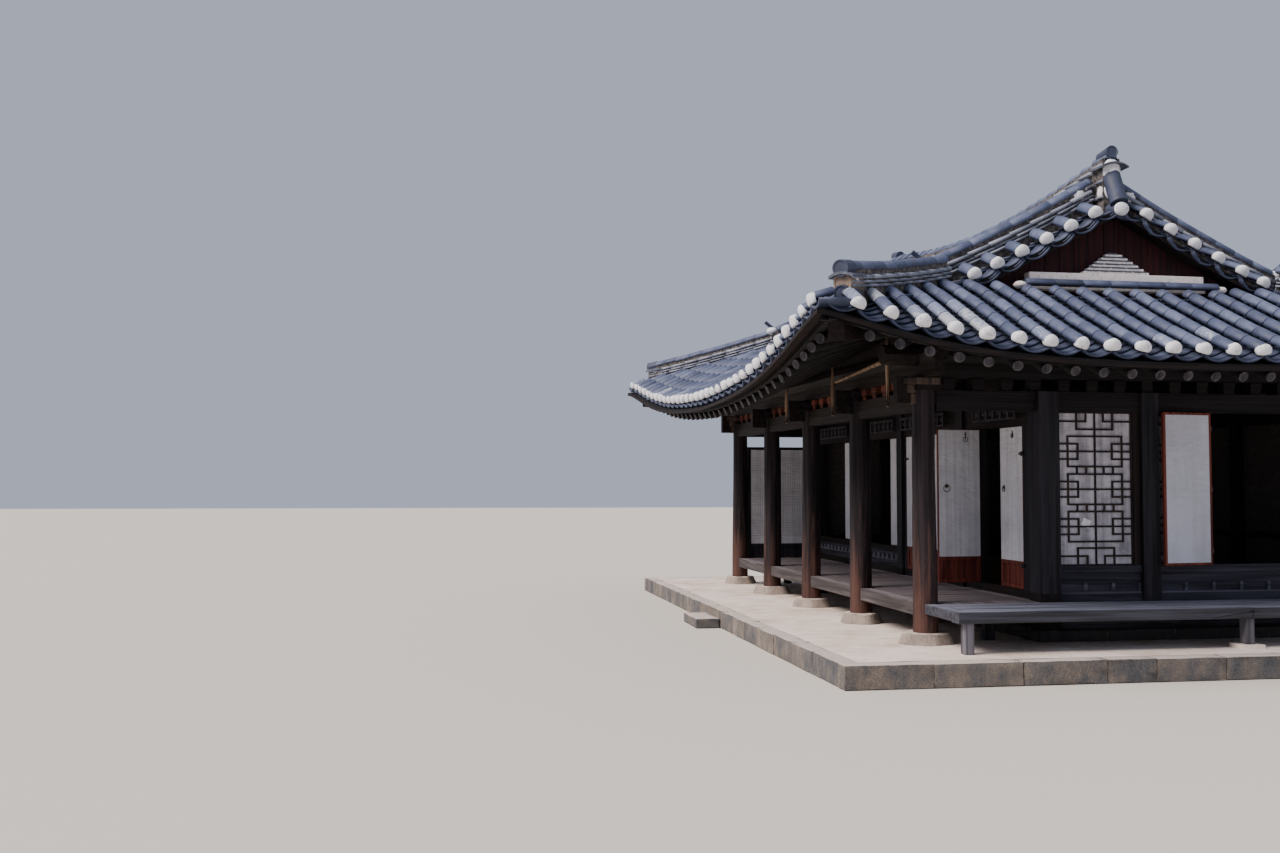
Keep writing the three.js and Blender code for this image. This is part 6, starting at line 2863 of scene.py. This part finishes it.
@dataclass
class Stonework:
    """The platform's curb of granite blocks, the step stone and the stones under the columns."""

    palette: Palette
    half_x: float = 4.13
    half_y: float = 5.63
    wide: float = 0.22
    high: float = 0.235

    def hewn(self, obj: Object, depth: float, cuts: int, seed: int) -> None:
        """Split a block's smooth faces into rough ones.

        Args:
            obj: The block.
            depth: How far its points move.
            cuts: How many cuts divide an edge.
            seed: The seed of the moves.
        """
        pick(obj)
        with editing():
            bpy.ops.mesh.subdivide(number_cuts=cuts)
            bpy.ops.transform.vertex_random(offset=depth, seed=seed)

    def stones(self, start: float, end: float, rng: random.Random) -> list[tuple[float, float]]:
        """Divide a side of the curb into stones.

        Args:
            start: Start of the side.
            end: End of the side.
            rng: Source of the uneven lengths.

        Returns:
            Start and end of each stone.
        """
        made = []
        at = start
        while at < end - 0.01:
            long = rng.uniform(0.5, 0.95)
            if end - (at + long) < 0.4:
                long = end - at
            made.append((at, at + long))
            at += long
        return made

    def build(self) -> None:
        """Build the stonework."""
        rng = random.Random(23)
        bars = []
        inner_x, inner_y = self.half_x - self.wide, self.half_y - self.wide
        for side in (-1, 1):
            for axis, reach, inner, outer in (
                (Axis.X, self.half_x, inner_y, self.half_y),
                (Axis.Y, inner_y, inner_x, self.half_x),
            ):
                plane = WallPlane(axis, 0.0, side)
                for a, b in self.stones(-reach, reach, rng):
                    front = outer - rng.uniform(0.002, 0.012)
                    top = self.high - rng.uniform(0.0, 0.005)
                    bars.append(plane.bar(a + 0.001, b - 0.001, 0.002, top, inner, front))
        curb = joinery("curb_stones", bars, 0.006)
        self.tone(curb, rng)
        self.hewn(curb, 0.007, 3, 4)
        smooth(curb, 50)
        finish_piece(curb, self.palette.granite, "granite", ("platform_curb",))
        block = Bar((-4.46, -0.425, 0.001), (-4.1305, 0.425, 0.13))
        step = joinery("step_stone_block", [block], 0.014, 2)
        self.hewn(step, 0.003, 3, 6)
        smooth(step, 50)
        finish_piece(step, self.palette.granite, "granite", ("step_stone",))
        self.column_stones(rng)
        self.plinth(rng)

    def tone(self, obj: Object, rng: random.Random) -> None:
        """Give each separate stone its own tone.

        Args:
            obj: The curb.
            rng: Source of the tones.
        """
        count = len(obj.data.vertices)
        # An eased block has three points at each of its eight corners
        corners = 24
        tones = [rng.random() for _ in range(count // corners + 1)]
        attribute = obj.data.attributes.new("tone", "FLOAT", "POINT")
        values = np.repeat(tones, corners)[:count].astype(np.float32)
        attribute.data.foreach_set("value", values)

    def column_stones(self, rng: random.Random) -> None:
        """Shape the rough stones under the columns and the flat one under the middle leg.

        Args:
            rng: Source of the uneven rims.
        """
        parts = []
        for i, y in enumerate(COLUMN_ROWS):
            obj = cylinder("stone", 22, 1.0, 0.122, (0, 0, 0.061))
            cut_rings((0.05, 0.095))
            waves = [rng.uniform(0, 6.28) for _ in range(3)]
            for vertex in obj.data.vertices:
                angle = math.atan2(vertex.co.y, vertex.co.x)
                flare = 0.285 - 0.55 * max(vertex.co.z, 0.0) ** 1.1
                rough = 0.02 * math.sin(2 * angle + waves[0])
                flare += rough + 0.012 * math.sin(5 * angle + waves[1])
                vertex.co.x = -2.68 + flare * math.cos(angle)
                vertex.co.y = y + flare * math.sin(angle)
                vertex.co.z += self.high - 0.001
            obj.data.update()
            self.hewn(obj, 0.009, 1, 30 + i)
            smooth(obj, 60)
            parts.append(obj)
        block = Bar((0.475, -5.16, 0.234), (0.685, -4.92, 0.2798))
        leg = joinery("leg_stone", [block], 0.014, 2)
        self.hewn(leg, 0.003, 2, 8)
        parts.append(leg)
        finish_piece(merged("column_stones", parts), self.palette.column_stone, "granite")

    def plinth(self, rng: random.Random) -> None:
        """Set the low course of stones under the walls.

        Args:
            rng: Source of the uneven lengths.
        """
        bars = []
        inner, outer = (-1.4, 2.83), (-4.27, 4.27)
        for y in outer:
            a = inner[0] - 0.004
            while a < inner[1]:
                long = min(rng.uniform(0.5, 0.9), inner[1] + 0.004 - a)
                y0, y1 = (y - 0.04, y + 0.004) if y > 0 else (y - 0.004, y + 0.085)
                bars.append(Bar((a + 0.001, y0, 0.234), (a + long - 0.001, y1, 0.358)))
                a += long
        for x in inner:
            b = outer[0] + 0.02
            while b < outer[1] - 0.02:
                long = min(rng.uniform(0.5, 0.9), outer[1] - 0.02 - b)
                side = 1 if x > 0 else -1
                x0, x1 = sorted((x + side * 0.004, x - side * 0.02))
                bars.append(Bar((x0, b + 0.001, 0.234), (x1, b + long - 0.001, 0.358)))
                b += long
        course = joinery("plinth_stones", bars, 0.003)
        self.hewn(course, 0.001, 2, 14)
        smooth(course, 50)
        finish_piece(course, self.palette.plinth_stone, "granite")


def dress_timber(palette: Palette) -> None:
    """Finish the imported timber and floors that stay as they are.

    Args:
        palette: The finishes.
    """
    posts = [f"veranda_wall_post_{number}" for number in range(1, 6)]
    finishes = (
        (palette.beam_y, ("front_eave_beam", "back_eave_beam")),
        (palette.beam_y, ("veranda_wall_sill", "veranda_wall_head")),
        (palette.beam_x, ("bench_end_beam", "far_end_beam")),
        (palette.soffit, ("front_roof_boards", "back_roof_boards")),
        (palette.soffit, ("bench_end_roof_boards", "far_end_roof_boards")),
        (palette.post, ("bench_end_post", "far_end_wall", "back_wall", *posts)),
        (palette.sill, ("bench_end_sill",)),
        (palette.ground_lime, ("platform_floor",)),
        (palette.floor_paper, ("room_floor",)),
    )
    for material, nodes in finishes:
        for node in nodes:
            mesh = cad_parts[node].data
            mesh.materials.clear()
            mesh.materials.append(material)


# Camera, floor and light


@dataclass(frozen=True)
class Studio:
    """The photograph's camera, a pale floor and soft light."""

    eye: tuple[float, float, float] = (-8.071, -17.094, 2.0)
    yaw: float = 0.16798
    pitch: float = 0.0452
    roll: float = -0.0012
    focal_pixels: float = 1234.9
    image_width: float = 1280.0
    sensor: float = 36.0
    far: float = 300.0
    floor_size: float = 160.0
    floor_level: float = -0.004
    floor_colour: str = "cdc8bf"
    sky_colour: str = "d2daf0"
    sky_strength: float = 0.68
    sun_colour: str = "fff3ea"
    sun_strength: float = 5.4
    sun_width: float = 32.0
    sun_height: float = 44.0
    sun_turn: float = -78.0

    def build(self) -> None:
        """Make the camera, the floor and the lights."""
        data = bpy.data.cameras.new("camera")
        data.sensor_width = self.sensor
        data.lens = self.focal_pixels / self.image_width * self.sensor
        data.clip_end = self.far
        camera = bpy.data.objects.new("camera", data)
        camera.location = self.eye
        camera.rotation_euler = (math.pi / 2 + self.pitch, self.roll, -self.yaw)
        bpy.context.scene.collection.objects.link(camera)
        bpy.context.scene.camera = camera
        self.floor()
        self.lights()

    def floor(self) -> None:
        """Lay a plain pale floor."""
        deselect()
        bpy.ops.mesh.primitive_plane_add(size=self.floor_size, location=(0, 0, self.floor_level))
        plane = bpy.context.object
        plane.name = "studio_floor"
        material = bpy.data.materials.new("studio_floor_matt")
        material.use_nodes = True
        shader = material.node_tree.nodes["Principled BSDF"]
        shader.inputs["Base Color"].default_value = linear(self.floor_colour)
        shader.inputs["Roughness"].default_value = 0.95
        plane.data.materials.append(material)

    def lights(self) -> None:
        """Set a bright overcast sky and one broad, soft sun."""
        world = bpy.data.worlds.new("studio_sky")
        world.use_nodes = True
        sky = world.node_tree.nodes["Background"]
        sky.inputs["Color"].default_value = linear(self.sky_colour)
        sky.inputs["Strength"].default_value = self.sky_strength
        bpy.context.scene.world = world
        sun = bpy.data.lights.new("soft_sun", "SUN")
        sun.energy = self.sun_strength
        sun.angle = math.radians(self.sun_width)
        sun.color = linear(self.sun_colour)[:3]
        lamp = bpy.data.objects.new("soft_sun", sun)
        lamp.rotation_euler = (math.radians(self.sun_height), 0, math.radians(self.sun_turn))
        bpy.context.scene.collection.objects.link(lamp)


def main() -> None:
    """Build the house's looks in order."""
    logging.basicConfig(level=logging.INFO, format="%(message)s")
    palette = Palette()
    form = RoofForm()
    kit = TileKit()
    Studio().build()
    for side in Side:
        shift = 0.0 if side in (Side.FRONT, Side.BACK) else 0.09
        TileField(Slope(form, side), palette, kit, shift=shift).build()
    Ridges(form, palette, kit).build()
    Verge(form, palette, kit).build()
    Gable(form, palette, kit, "bench_end", -1).build()
    Gable(form, palette, kit, "far_end", 1).build()
    Rafters(form, palette).build()
    kit.clear()
    Columns(palette).build()
    EaveTimber(form, palette).build()
    Windows(palette).build()
    Doors(palette).build()
    Floors(palette).build()
    Stonework(palette).build()
    dress_timber(palette)


if __name__ == "__main__":
    main()
